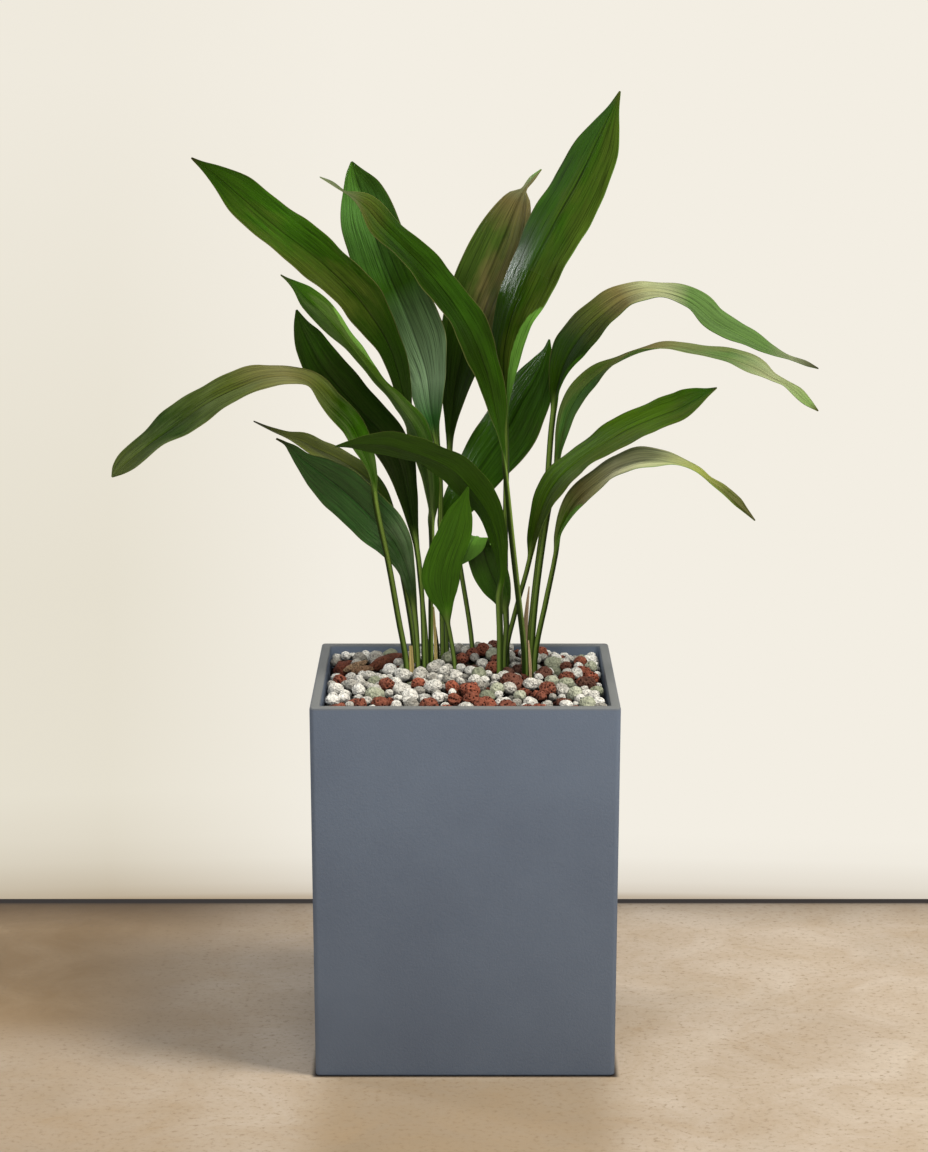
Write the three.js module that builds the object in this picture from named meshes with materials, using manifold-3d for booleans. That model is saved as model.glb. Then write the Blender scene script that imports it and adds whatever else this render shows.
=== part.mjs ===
// A potted cast iron plant: eighteen long leaves on stalks, a few dry or young pieces at their feet,
// a bed of mineral grains and a square tapered planter.
// Millimetres, +Z up, origin at the centre of the planter's underside, the planter's front facing -Y.
import * as THREE from "three";
import { mergeVertices } from "three/addons/utils/BufferGeometryUtils.js";
import Module from "manifold-3d";

const wasm = await Module();
wasm.setup();

const MERGE_DISTANCE = 1e-4;

// Planter
const POT_TOP_SIDE = 300;
const POT_HEIGHT = 372;
const POT_TAPER = 0.98;
const POT_WALL = 9.6;
const POT_FLOOR = 12;
const CORNER_RADIUS = 5;
const RIM_ROUND = 2;
const BASE_ROUND = 2.5;
const FLOOR_ROUND = 6;
const CORNER_STEPS = 3;

// Substrate
const CLEARANCE = 0.4;
const BED_EDGE_Z = 354;
const BED_SHOULDER_Z = 361;
const BED_TOP_Z = 364;
const BED_SHOULDER_SHARE = 0.6;
const GRAIN_PITCH = 27;
const GRAIN_RADIUS = [11, 14];
const GRAIN_SINK = [2, 4];
const GRAIN_DEPTH_SHARE = [0.8, 1];
const GRAIN_HEIGHT_SHARE = [0.7, 0.85];
const GRAIN_JITTER_SHARE = 0.35;
const GRAIN_SEED = 41;
const RANDOM_FACTOR = 1664525;
const RANDOM_STEP = 1013904223;
const RANDOM_RANGE = 2 ** 32;

// Leaves
const BLADE_THICKNESS = 1;
const BLADE_STEP = 17;
const STALK_STEP = 50;
const BLADE_FOLD = 13;
const FOOT_FOLD = 50;
const FOOT_FOLD_SHARE = 0.3;
const BLADE_CURL = 0.1;
const MORPH_LENGTH = 26;
const RIPPLE_LENGTH = 86;
const OTHER_EDGE_PHASE = 2;
const ACROSS = [-1, -0.5, 0, 0.5, 1];
const STALK_ANGLES = [160, 125, 90, 55, 20];
// A leaf's roll is counted from the pose whose upper face looks this way, to the front and a little up.
const FACING = new THREE.Vector3(0, -0.98, 0.2).normalize();

const STALK_RINGS_LEAST = 1;
const BLADE_RINGS_LEAST = 3;

// Each row of a leaf is x, y, z of its midrib, its roll in degrees and its full width there.
// foot is the row where the stalk ends and the blade begins, ripple the height of the edge's waves.
// bladeFold is for a blade whose edges turn back instead of up.
const WIDTH_COLUMN = 4;
const LEAVES = {
  leaf_high_left: {
    foot: 3, ripple: 2.5, phase: 0.4,
    rows: [
      [-37, 70, 334, 10, 5], [-39, 70, 376, 10, 5], [-49, 71, 491, 15, 5], [-55, 69, 599, 20, 6],
      [-62, 66, 643, 30, 18], [-77, 60, 697, 30, 34], [-104, 52, 741, 30, 50], [-144, 41, 783, 30, 54],
      [-183, 29, 815, 30, 53], [-221, 16, 849, 30, 46], [-245, 6, 871, 30, 23], [-259, 0, 882, 30, 8],
      [-267, -3, 888, 30, 2],
    ],
  },
  leaf_back_left: {
    foot: 3, ripple: 2.5, phase: 1.3,
    rows: [
      [-23, 78, 334, -10, 5.5], [-23, 78, 375, -10, 5.5], [-25, 79, 474, -10, 5.5], [-28, 83, 590, -20, 6],
      [-35, 90, 632, -25, 34], [-39, 96, 663, -25, 50], [-51, 104, 701, -22, 70], [-82, 124, 773, -18, 68],
      [-96, 135, 812, -18, 64], [-105, 145, 843, -15, 46], [-113, 152, 863, -15, 20], [-116, 156, 874, -15, 2],
    ],
  },
  leaf_crossing: {
    foot: 4, ripple: 2, phase: 2.2,
    rows: [
      [61, 30, 334, 60, 6], [60, 28, 386, 60, 6], [54, 26, 443, 60, 6], [47, 22, 505, 58, 6],
      [40, 16, 575, 55, 5], [35, 12, 611, 50, 12], [29, 8, 645, 45, 31], [19, 2, 684, 45, 44],
      [5, -6, 719, 45, 50], [-17, -14, 754, 45, 50], [-41, -24, 784, 45, 46], [-63, -34, 807, 45, 42],
      [-82, -43, 827, 45, 42], [-96, -50, 844, 50, 34], [-108, -56, 854, 60, 18], [-116, -59, 859, 60, 6],
      [-127, -63, 867, 60, 9], [-139, -68, 874, 60, 2],
    ],
  },
  leaf_back_centre: {
    foot: 3, ripple: 2, phase: 0.9,
    rows: [
      [9, 96, 334, -10, 5], [8, 96, 371, -10, 5], [-8, 116, 483, -12, 5], [-16, 124, 575, -20, 6],
      [-14, 125, 607, -20, 14], [-9, 127, 650, -20, 36], [2, 130, 699, -18, 58], [13, 133, 735, -18, 66],
      [26, 137, 765, -18, 66], [38, 141, 794, -18, 62], [49, 145, 822, -18, 44], [56, 148, 838, -18, 26],
      [61, 150, 847, -20, 5], [68, 152, 856, -25, 7], [78, 156, 866, -40, 2],
    ],
  },
  leaf_tallest: {
    foot: 3, ripple: 2.5, phase: 3.1, bladeFold: -9,
    rows: [
      [43, 68, 334, -20, 5.5], [43, 68, 377, -20, 5.5], [41, 68, 476, -20, 5.5], [41, 70, 615, -20, 6],
      [39, 72, 652, -25, 22], [39, 75, 688, -28, 38], [45, 78, 718, -28, 46], [59, 83, 754, -27, 56],
      [88, 92, 813, -25, 64], [112, 100, 855, -25, 62], [130, 107, 891, -25, 51], [141, 111, 914, -25, 31],
      [150, 115, 933, -25, 12], [156, 118, 947, -25, 2],
    ],
  },
  leaf_slim_left: {
    foot: 3, ripple: 1.5, phase: 4,
    rows: [
      [-35, 62, 334, 40, 5], [-35, 62, 378, 40, 5], [-35, 60, 436, 45, 5], [-34, 52, 510, 50, 6],
      [-36, 49, 541, 55, 24], [-39, 46, 572, 58, 38], [-50, 40, 614, 58, 42], [-69, 34, 643, 65, 38],
      [-90, 27, 669, 74, 36], [-111, 20, 697, 64, 36], [-140, 10, 733, 50, 40], [-156, 4, 749, 50, 34],
      [-169, -1, 764, 50, 13], [-176, -3, 770, 50, 5], [-181, -5, 774, 50, 2],
    ],
  },
  leaf_dark_left: {
    foot: 2, ripple: 2, phase: 5,
    rows: [
      [-42, 50, 334, 10, 5], [-42, 50, 378, 10, 5], [-49, 50, 492, 10, 6], [-54, 49, 519, 20, 14],
      [-59, 48, 549, 20, 24], [-67, 45, 582, 22, 35], [-83, 42, 609, 25, 43], [-104, 38, 633, 25, 47],
      [-125, 34, 657, 25, 47], [-143, 30, 680, 25, 45], [-155, 26, 703, 25, 36], [-163, 22, 722, 20, 17],
      [-167, 20, 737, 20, 2],
    ],
  },
  leaf_droop_left: {
    foot: 4, ripple: 2, phase: 0,
    rows: [
      [-58, 32, 334, 20, 6], [-60, 31, 380, 20, 6], [-67, 25, 422, 20, 6], [-77, 10, 485, 22, 6],
      [-89, -6, 548, 28, 6], [-93, -11, 577, 45, 13], [-104, -17, 607, 50, 34], [-115, -22, 630, 56, 44],
      [-130, -28, 646, 62, 48], [-158, -38, 675, 66, 50], [-194, -50, 678, 62, 54], [-220, -60, 670, 54, 56],
      [-250, -71, 656, 50, 56], [-276, -81, 638, 50, 56], [-300, -90, 622, 56, 48], [-322, -97, 605, 50, 38],
      [-334, -101, 595, 45, 20], [-340, -103, 589, 45, 2],
    ],
  },
  leaf_olive_left: {
    foot: 3, ripple: 1.5, phase: 1,
    rows: [
      [-52, 62, 334, 30, 5], [-52, 62, 378, 30, 5], [-62, 62, 451, 35, 5], [-72, 61, 500, 40, 5],
      [-78, 60, 533, 50, 15], [-90, 58, 553, 55, 26], [-108, 55, 569, 58, 34], [-132, 51, 585, 56, 38],
      [-148, 48, 593, 56, 35], [-164, 45, 602, 55, 25], [-180, 43, 608, 55, 12], [-196, 40, 615, 55, 7],
      [-212, 38, 623, 55, 2],
    ],
  },
  leaf_glossy_left: {
    foot: 2, ripple: 2, phase: 2,
    rows: [
      [-48, 38, 334, 0, 5.5], [-48, 38, 383, 0, 5.5], [-51, 38, 426, -10, 6], [-54, 35, 451, -20, 13],
      [-60, 31, 477, -20, 22], [-72, 26, 503, -20, 40], [-92, 20, 527, -20, 52], [-121, 12, 557, -20, 50],
      [-144, 5, 576, -20, 38], [-160, 1, 589, -20, 21], [-172, -2, 602, -20, 10], [-178, -4, 607, -20, 4],
      [-187, -6, 612, -20, 2],
    ],
  },
  leaf_front_arch: {
    foot: 3, ripple: 1.5, phase: 3,
    rows: [
      [35, 14, 334, 150, 6.5], [35, 14, 369, 150, 6.5], [35, 10, 415, 150, 6.5], [34, 5, 447, 145, 7],
      [35, -1, 484, 140, 14], [32, -6, 510, 135, 26], [23, -14, 538, 132, 38], [6, -24, 564, 130, 48],
      [-13, -34, 586, 128, 50], [-36, -44, 599, 118, 50], [-59, -53, 608, 117, 50], [-78, -60, 614, 117, 48],
      [-96, -67, 616, 117, 33], [-112, -72, 616, 117, 15], [-126, -77, 615, 117, 2],
    ],
  },
  leaf_front_small: {
    foot: 2, ripple: 1.5, phase: 4,
    rows: [
      [-10, 38, 334, 180, 5], [-11, 37, 378, 180, 5], [-17, 27, 416, 175, 5], [-20, 20, 434, 172, 17],
      [-24, 12, 452, 170, 33], [-25, 3, 470, 170, 40], [-20, -9, 494, 168, 38], [-11, -20, 519, 165, 36],
      [-5, -29, 540, 162, 27], [-1, -35, 555, 160, 12], [3, -40, 569, 160, 2],
    ],
  },
  leaf_curled: {
    foot: 2, ripple: 1, phase: 5,
    rows: [
      [40, 40, 334, -10, 5], [40, 40, 383, -10, 5], [41, 41, 425, -10, 5.5], [38, 41, 440, -10, 19],
      [31, 38, 457, -5, 32], [24, 35, 474, 0, 37], [19, 32, 491, -10, 36], [16, 27, 504, -50, 34],
      [11, 18, 509, -110, 32], [6, 11, 503, -155, 29], [1, 8, 493, -170, 18], [-4, 7, 483, -175, 2],
    ],
  },
  leaf_back_right: {
    foot: 3, ripple: 2.5, phase: 0.5, bladeFold: -9,
    rows: [
      [-19, 92, 334, -10, 5.5], [-19, 92, 372, -10, 5.5], [-21, 93, 429, -10, 5.5], [-23, 94, 484, -10, 6],
      [-19, 95, 511, -12, 20], [-6, 96, 533, -14, 36], [8, 98, 556, -15, 48], [23, 101, 578, -15, 57],
      [42, 104, 604, -15, 61], [57, 107, 631, -15, 57], [70, 110, 653, -15, 45], [80, 113, 674, -15, 24],
      [84, 115, 686, -15, 9], [86, 117, 696, -15, 2],
    ],
  },
  leaf_upper_arch: {
    foot: 4, ripple: 2, phase: 1.5,
    rows: [
      [65, 62, 334, -15, 6], [65, 62, 378, -15, 6], [71, 63, 446, -15, 6], [82, 65, 538, -15, 6],
      [89, 67, 626, -25, 6], [93, 68, 653, -40, 18], [101, 69, 678, -48, 40], [111, 70, 696, -50, 56],
      [126, 71, 715, -50, 60], [143, 72, 730, -56, 60], [164, 73, 744, -65, 58], [186, 74, 749, -67, 58],
      [223, 76, 740, -62, 60], [254, 78, 717, -60, 60], [286, 80, 700, -60, 50], [310, 82, 688, -62, 26],
      [329, 83, 681, -60, 9], [343, 84, 676, -50, 10], [358, 85, 670, -50, 2],
    ],
  },
  leaf_middle_arch: {
    foot: 3, ripple: 1.5, phase: 2.5,
    rows: [
      [68, 46, 334, -30, 5.5], [68, 46, 382, -30, 5.5], [78, 48, 490, -30, 5.5], [91, 46, 570, -35, 5.5],
      [95, 44, 592, -38, 11], [99, 42, 612, -42, 20], [106, 40, 635, -50, 31], [117, 37, 654, -58, 38],
      [133, 33, 671, -68, 43], [152, 28, 684, -78, 45], [178, 22, 696, -84, 46], [203, 16, 700, -78, 46],
      [232, 9, 696, -70, 50],
      [267, 1, 689, -67, 52], [288, -5, 681, -62, 42], [303, -10, 673, -62, 24], [314, -13, 668, -60, 18],
      [325, -17, 660, -55, 23], [335, -20, 651, -50, 16], [347, -24, 642, -50, 2],
    ],
  },
  leaf_lower_right: {
    foot: 3, ripple: 2, phase: 3.5,
    rows: [
      [41, 53, 334, -20, 5], [41, 53, 378, -20, 5], [52, 47, 430, -22, 5], [65, 36, 482, -30, 5],
      [69, 32, 505, -35, 15], [75, 28, 529, -42, 25], [83, 24, 550, -48, 35], [96, 18, 570, -50, 40],
      [114, 12, 587, -50, 42], [135, 4, 603, -50, 43], [163, -7, 622, -50, 46], [189, -17, 635, -50, 52],
      [211, -26, 645, -50, 46], [227, -32, 655, -50, 30], [238, -36, 662, -50, 12], [246, -39, 667, -50, 2],
    ],
  },
  leaf_low_arch: {
    foot: 3, ripple: 1.5, phase: 4.5,
    rows: [
      [72, 36, 334, -25, 5.5], [71, 36, 379, -25, 5.5], [82, 30, 442, -28, 5.5], [91, 22, 490, -35, 5],
      [94, 19, 511, -40, 11], [101, 14, 530, -50, 22], [110, 7, 547, -56, 33], [128, -3, 566, -60, 43],
      [148, -12, 582, -61, 46], [170, -22, 592, -62, 46], [189, -30, 594, -65, 43], [210, -38, 592, -70, 38],
      [226, -44, 586, -71, 28], [239, -49, 577, -65, 15], [252, -54, 569, -55, 14], [265, -59, 558, -50, 16],
      [273, -62, 550, -50, 10], [283, -66, 540, -50, 2],
    ],
  },
};

// Dry sheaths and a young shoot: small blades with no stalk, folded like a channel all along.
const SHEATHS = {
  dry_stub: {
    fold: 40, rows: [[-54, 25, 334, 0, 5.6], [-54, 25, 372, 0, 5.8], [-55, 25, 396, 0, 4.4]],
  },
  dry_sheath: {
    fold: 40,
    rows: [[-30, 57, 334, 0, 4], [-30, 57, 380, 0, 4], [-31, 56, 408, 0, 3.4], [-32, 55, 430, 0, 1.4]],
  },
  young_shoot: {
    fold: 45, rows: [[-28, 70, 334, 0, 5], [-28, 70, 380, 0, 5], [-30, 70, 406, 0, 1.4]],
  },
  pointed_sheath: {
    fold: 40, rows: [[60, 50, 334, 0, 6], [60, 50, 378, 0, 7.4], [62, 50, 420, 0, 5.6], [65, 50, 452, 0, 1.4]],
  },
  pale_sheath: {
    fold: 40, rows: [[66, 22, 334, 0, 3.6], [66, 22, 372, 0, 3.6], [64, 22, 402, 0, 1.6]],
  },
};

const COLOURS = {
  planter: 0x5c646c,
  substrate: 0xa09a92,
  sheath: 0xb79b6c,
  shoot: 0x2c3418,
  deep: 0x1f3a12,
  mid: 0x2c4b17,
  olive: 0x4a552a,
};
const ROUGHNESS = { planter: 0.8, substrate: 0.95, leaf: 0.4, sheath: 0.8 };
const LEAF_COLOURS = {
  leaf_back_left: COLOURS.mid,
  leaf_front_small: COLOURS.mid,
  leaf_olive_left: COLOURS.olive,
  leaf_back_centre: COLOURS.olive,
  leaf_droop_left: COLOURS.olive,
  leaf_low_arch: COLOURS.olive,
};

function material(color, roughness) {
  return new THREE.MeshStandardMaterial({ color, roughness, metalness: 0 });
}

// Solids from geometries and back
function solidOf(geometry) {
  const bare = geometry.clone();
  bare.deleteAttribute("normal");
  bare.deleteAttribute("uv");
  const merged = mergeVertices(bare, MERGE_DISTANCE);
  return new wasm.Manifold(
    new wasm.Mesh({
      numProp: 3,
      vertProperties: new Float32Array(merged.attributes.position.array),
      triVerts: new Uint32Array(merged.index.array),
    }),
  );
}

function geometryOf(solid) {
  const mesh = solid.getMesh();
  const geometry = new THREE.BufferGeometry();
  geometry.setAttribute("position", new THREE.BufferAttribute(mesh.vertProperties, 3));
  geometry.setIndex(new THREE.BufferAttribute(mesh.triVerts, 1));
  geometry.computeVertexNormals();
  return geometry;
}

// A closed skin over rings of points that all hold the same even number of points and run the same way round.
// Each end is closed by a strip of panes from one half of its ring to the other, so a folded end stays clean.
function skinOf(rings) {
  const around = rings[0].length;
  const positions = [];
  const index = [];
  const corner = (ring, i) => ring * around + (i % around);
  rings.flat().forEach((p) => positions.push(p.x, p.y, p.z));
  for (let ring = 0; ring + 1 < rings.length; ring++) {
    for (let i = 0; i < around; i++) {
      const a = corner(ring, i);
      const b = corner(ring, i + 1);
      const c = corner(ring + 1, i);
      const d = corner(ring + 1, i + 1);
      index.push(a, b, d, a, d, c);
    }
  }
  [0, rings.length - 1].forEach((ring) => {
    for (let i = 0; i + 1 < around / 2; i++) {
      const pane = [i, i + 1, around - 2 - i, around - 1 - i].map((k) => corner(ring, k));
      if (ring === 0) pane.reverse();
      index.push(pane[0], pane[1], pane[2], pane[0], pane[2], pane[3]);
    }
  });
  const geometry = new THREE.BufferGeometry();
  geometry.setAttribute("position", new THREE.Float32BufferAttribute(positions, 3));
  geometry.setIndex(index);
  geometry.computeVertexNormals();
  return geometry;
}

// Planter
function squareRing(half, radius, z) {
  const outline = new THREE.Shape();
  const inner = half - radius;
  const corners = [[inner, inner], [-inner, inner], [-inner, -inner], [inner, -inner]];
  const points = [];
  corners.forEach(([x, y], quarter) => {
    outline.absarc(x, y, radius, (quarter * Math.PI) / 2, ((quarter + 1) * Math.PI) / 2, false);
    for (let i = 0; i <= CORNER_STEPS; i++) {
      const at = outline.curves.at(-1).getPoint(i / CORNER_STEPS);
      points.push(new THREE.Vector3(at.x, at.y, z));
    }
  });
  return points;
}

function outerHalf(z) {
  return (POT_TOP_SIDE / 2) * (POT_TAPER + ((1 - POT_TAPER) * z) / POT_HEIGHT);
}

function makePlanter() {
  const quarterBase = BASE_ROUND * (1 - Math.SQRT1_2);
  const quarterRim = RIM_ROUND * (1 - Math.SQRT1_2);
  const top = outerHalf(POT_HEIGHT);
  const profile = [
    [outerHalf(0) - BASE_ROUND, 0],
    [outerHalf(0) - quarterBase, quarterBase],
    [outerHalf(BASE_ROUND), BASE_ROUND],
    [outerHalf(POT_HEIGHT - RIM_ROUND), POT_HEIGHT - RIM_ROUND],
    [top - quarterRim, POT_HEIGHT - quarterRim],
    [top - RIM_ROUND, POT_HEIGHT],
    [top - POT_WALL + RIM_ROUND, POT_HEIGHT],
    [top - POT_WALL + quarterRim, POT_HEIGHT - quarterRim],
    [top - POT_WALL, POT_HEIGHT - RIM_ROUND],
    [outerHalf(POT_FLOOR) - POT_WALL, POT_FLOOR + FLOOR_ROUND],
    [outerHalf(POT_FLOOR) - POT_WALL - FLOOR_ROUND, POT_FLOOR],
  ];
  return skinOf(profile.map(([half, z]) => squareRing(half, CORNER_RADIUS, z)));
}

// Leaves
// The rate of each column at each row. The width's is held back so that the edge never bulges past its rows.
function slopes(rows, lengths) {
  const secants = lengths.map((h, i) => rows[i + 1].map((v, k) => (v - rows[i][k]) / h));
  return rows.map((row, i) => {
    if (i === 0) return secants[0];
    if (i === rows.length - 1) return secants[i - 1];
    const h0 = lengths[i - 1];
    const h1 = lengths[i];
    const before = secants[i - 1];
    const after = secants[i];
    return row.map((_, k) => {
      if (k !== WIDTH_COLUMN) return (before[k] * h1 + after[k] * h0) / (h0 + h1);
      if (before[k] * after[k] <= 0) return 0;
      return (2 * before[k] * after[k]) / (before[k] + after[k]);
    });
  });
}

// The midrib as a smooth curve through the rows: at(s) gives the row's five values, and the direction.
function midrib(rows) {
  const points = rows.map(([x, y, z]) => new THREE.Vector3(x, y, z));
  const lengths = points.slice(1).map((p, i) => p.distanceTo(points[i]));
  const starts = [0];
  lengths.forEach((h) => starts.push(starts.at(-1) + h));
  const tangents = slopes(rows, lengths);
  const at = (s) => {
    let i = 0;
    while (i < lengths.length - 1 && s >= starts[i + 1]) i++;
    const h = lengths[i];
    const t = (s - starts[i]) / h;
    const weights = [
      2 * t ** 3 - 3 * t ** 2 + 1, (t ** 3 - 2 * t ** 2 + t) * h,
      -2 * t ** 3 + 3 * t ** 2, (t ** 3 - t ** 2) * h,
    ];
    const rates = [
      (6 * t ** 2 - 6 * t) / h, 3 * t ** 2 - 4 * t + 1,
      (-6 * t ** 2 + 6 * t) / h, 3 * t ** 2 - 2 * t,
    ];
    const mix = (w, k) =>
      w[0] * rows[i][k] + w[1] * tangents[i][k] + w[2] * rows[i + 1][k] + w[3] * tangents[i + 1][k];
    return {
      point: new THREE.Vector3(mix(weights, 0), mix(weights, 1), mix(weights, 2)),
      along: new THREE.Vector3(mix(rates, 0), mix(rates, 1), mix(rates, 2)).normalize(),
      roll: THREE.MathUtils.degToRad(mix(weights, 3)),
      half: mix(weights, WIDTH_COLUMN) / 2,
    };
  };
  return { at, starts, length: starts.at(-1) };
}

// The stations of a leaf's rings: few on the stalk, closer on the blade.
function stations(curve, foot) {
  const start = curve.starts[foot];
  const stalkCount = Math.max(STALK_RINGS_LEAST, Math.round(start / STALK_STEP));
  const bladeCount = Math.max(BLADE_RINGS_LEAST, Math.round((curve.length - start) / BLADE_STEP));
  const list = [];
  for (let i = 0; i < stalkCount && start > 0; i++) list.push((start * i) / stalkCount);
  for (let i = 0; i <= bladeCount; i++) list.push(start + ((curve.length - start) * i) / bladeCount);
  return list;
}

// One ring of a leaf: round on the stalk, a thin folded strip with two flat sides on the blade.
// grow swells it evenly, for the hole that it stands in.
function leafRing(leaf, curve, s, grow) {
  const { point, along, roll, half } = curve.at(s);
  const start = curve.starts[leaf.foot ?? 0];
  const share = THREE.MathUtils.clamp((s - start) / (curve.length - start), 0, 1);
  const facing = FACING.clone().addScaledVector(along, -FACING.dot(along)).normalize();
  const turned = along.clone().cross(facing);
  const up = facing.multiplyScalar(Math.cos(roll)).addScaledVector(turned, Math.sin(roll));
  const side = up.clone().cross(along);
  const morph = leaf.foot === undefined ? 1 : THREE.MathUtils.smoothstep(s - start, 0, MORPH_LENGTH);
  const flat = leaf.fold ?? leaf.bladeFold ?? BLADE_FOLD;
  const footFold = leaf.fold ?? FOOT_FOLD;
  const nearFoot = Math.max(0, 1 - share / FOOT_FOLD_SHARE) ** 2;
  const fold = THREE.MathUtils.degToRad(flat + (footFold - flat) * nearFoot);
  const wide = half + grow;
  const thick = BLADE_THICKNESS / 2 + grow;
  const place = (across, rise) => point.clone().addScaledVector(side, across).addScaledVector(up, rise);
  const face = (top) =>
    ACROSS.map((v, i) => {
      const angle = THREE.MathUtils.degToRad(STALK_ANGLES[i]) * top;
      const round = [wide * Math.cos(angle), wide * Math.sin(angle)];
      const waveSide = v > 0 ? 0 : OTHER_EDGE_PHASE;
      const wave =
        (leaf.ripple ?? 0) * Math.sin(Math.PI * share) * v ** 2 *
        Math.sin((2 * Math.PI * s) / RIPPLE_LENGTH + (leaf.phase ?? 0) + waveSide);
      const lean = v === 0 ? 0 : Math.sign(v) * fold;
      const offset = v === 0 ? thick / Math.cos(fold) : thick;
      const across = wide * v * Math.cos(fold) - top * offset * Math.sin(lean);
      const rise =
        wide * (Math.abs(v) * Math.sin(fold) - BLADE_CURL * v ** 2) + wave +
        top * offset * Math.cos(lean);
      return place(
        THREE.MathUtils.lerp(round[0], across, morph),
        THREE.MathUtils.lerp(round[1], rise, morph),
      );
    });
  return [...face(-1), ...face(1).reverse()];
}

function makeLeaf(leaf) {
  const curve = midrib(leaf.rows);
  return skinOf(stations(curve, leaf.foot ?? 0).map((s) => leafRing(leaf, curve, s, 0)));
}

// The room that a leaf's lower end takes in the substrate, with clearance all round and below.
function makeSocket(leaf) {
  const curve = midrib(leaf.rows);
  const clear = BED_TOP_Z + 2 * GRAIN_RADIUS[1];
  const list = stations(curve, leaf.foot ?? 0);
  const last = list.findIndex((s) => curve.at(s).point.z > clear);
  const rings = list.slice(0, last + 1).map((s) => leafRing(leaf, curve, s, CLEARANCE));
  rings[0].forEach((p) => p.addScaledVector(curve.at(0).along, -CLEARANCE));
  return solidOf(skinOf(rings));
}

// Substrate: a bed that fills the planter, with grains sunk into its top by a seeded rule.
function randomFrom(seed) {
  let state = seed;
  return () => {
    state = (state * RANDOM_FACTOR + RANDOM_STEP) % RANDOM_RANGE;
    return state / RANDOM_RANGE;
  };
}

function innerHalf(z) {
  return outerHalf(z) - POT_WALL - CLEARANCE;
}

function bedHeight(x, y) {
  const out = Math.max(Math.abs(x), Math.abs(y)) / innerHalf(BED_EDGE_Z);
  if (out < BED_SHOULDER_SHARE) {
    return THREE.MathUtils.lerp(BED_TOP_Z, BED_SHOULDER_Z, out / BED_SHOULDER_SHARE);
  }
  const share = (out - BED_SHOULDER_SHARE) / (1 - BED_SHOULDER_SHARE);
  return THREE.MathUtils.lerp(BED_SHOULDER_Z, BED_EDGE_Z, share);
}

function makeGrain(random, x, y) {
  const between = (range) => THREE.MathUtils.lerp(...range, random());
  const radius = between(GRAIN_RADIUS);
  const limit = innerHalf(BED_EDGE_Z) - radius - CLEARANCE;
  const grain = new THREE.IcosahedronGeometry(radius, 0);
  const turn = new THREE.Euler(random() * Math.PI, random() * Math.PI, random() * Math.PI);
  grain.applyMatrix4(new THREE.Matrix4().makeRotationFromEuler(turn));
  grain.scale(1, between(GRAIN_DEPTH_SHARE), between(GRAIN_HEIGHT_SHARE));
  const cx = THREE.MathUtils.clamp(x, -limit, limit);
  const cy = THREE.MathUtils.clamp(y, -limit, limit);
  grain.translate(cx, cy, bedHeight(cx, cy) - between(GRAIN_SINK));
  return solidOf(grain);
}

function makeSubstrate() {
  const shoulder = innerHalf(BED_EDGE_Z) * BED_SHOULDER_SHARE;
  const floorZ = POT_FLOOR + CLEARANCE;
  let bed = solidOf(
    skinOf([
      squareRing(innerHalf(floorZ) - FLOOR_ROUND, CORNER_RADIUS, floorZ),
      squareRing(innerHalf(floorZ), CORNER_RADIUS, floorZ + FLOOR_ROUND),
      squareRing(innerHalf(BED_EDGE_Z), CORNER_RADIUS, BED_EDGE_Z),
      squareRing(shoulder, CORNER_RADIUS, BED_SHOULDER_Z),
      squareRing(CORNER_RADIUS * 2, CORNER_RADIUS, BED_TOP_Z),
    ]),
  );
  const random = randomFrom(GRAIN_SEED);
  const rowPitch = GRAIN_PITCH * Math.sin(Math.PI / 3);
  const reach = innerHalf(BED_EDGE_Z);
  for (let row = 0, y = -reach + GRAIN_PITCH / 2; y < reach; row++, y += rowPitch) {
    for (let x = -reach + (row % 2) * (GRAIN_PITCH / 2); x <= reach; x += GRAIN_PITCH) {
      const jitter = () => (random() - 0.5) * GRAIN_PITCH * GRAIN_JITTER_SHARE;
      bed = bed.add(makeGrain(random, x + jitter(), y + jitter()));
    }
  }
  [...Object.values(LEAVES), ...Object.values(SHEATHS)].forEach((leaf) => {
    bed = bed.subtract(makeSocket(leaf));
  });
  const bodies = bed.decompose();
  bodies.sort((a, b) => b.volume() - a.volume());
  return geometryOf(bodies[0]);
}

const plant = new THREE.Group();

function addPiece(name, geometry, color, roughness) {
  const mesh = new THREE.Mesh(geometry, material(color, roughness));
  mesh.name = name;
  plant.add(mesh);
}

addPiece("planter", makePlanter(), COLOURS.planter, ROUGHNESS.planter);
addPiece("substrate", makeSubstrate(), COLOURS.substrate, ROUGHNESS.substrate);
Object.entries(LEAVES).forEach(([name, leaf]) => {
  addPiece(name, makeLeaf(leaf), LEAF_COLOURS[name] ?? COLOURS.deep, ROUGHNESS.leaf);
});
Object.entries(SHEATHS).forEach(([name, leaf]) => {
  const color = name === "young_shoot" ? COLOURS.shoot : COLOURS.sheath;
  addPiece(name, makeLeaf(leaf), color, ROUGHNESS.sheath);
});

export default plant;
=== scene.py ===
# %% [markdown]
# A potted cast iron plant, as a Blender lesson in cells. The plant stands in a square planter that is
# filled with mineral grains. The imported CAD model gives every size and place, in metres with +Z up and the
# planter's front facing -Y. This script loads it as a fixed frame and builds finer pieces around it: a
# planter with soft edges, a bed of loose stones, and leaves with pleats, veins and gloss. The frame comes
# first, because every piece takes its place from it.

# %% Load the frame
import math

import bpy
import numpy as np
from mathutils import Matrix, Vector


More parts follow.
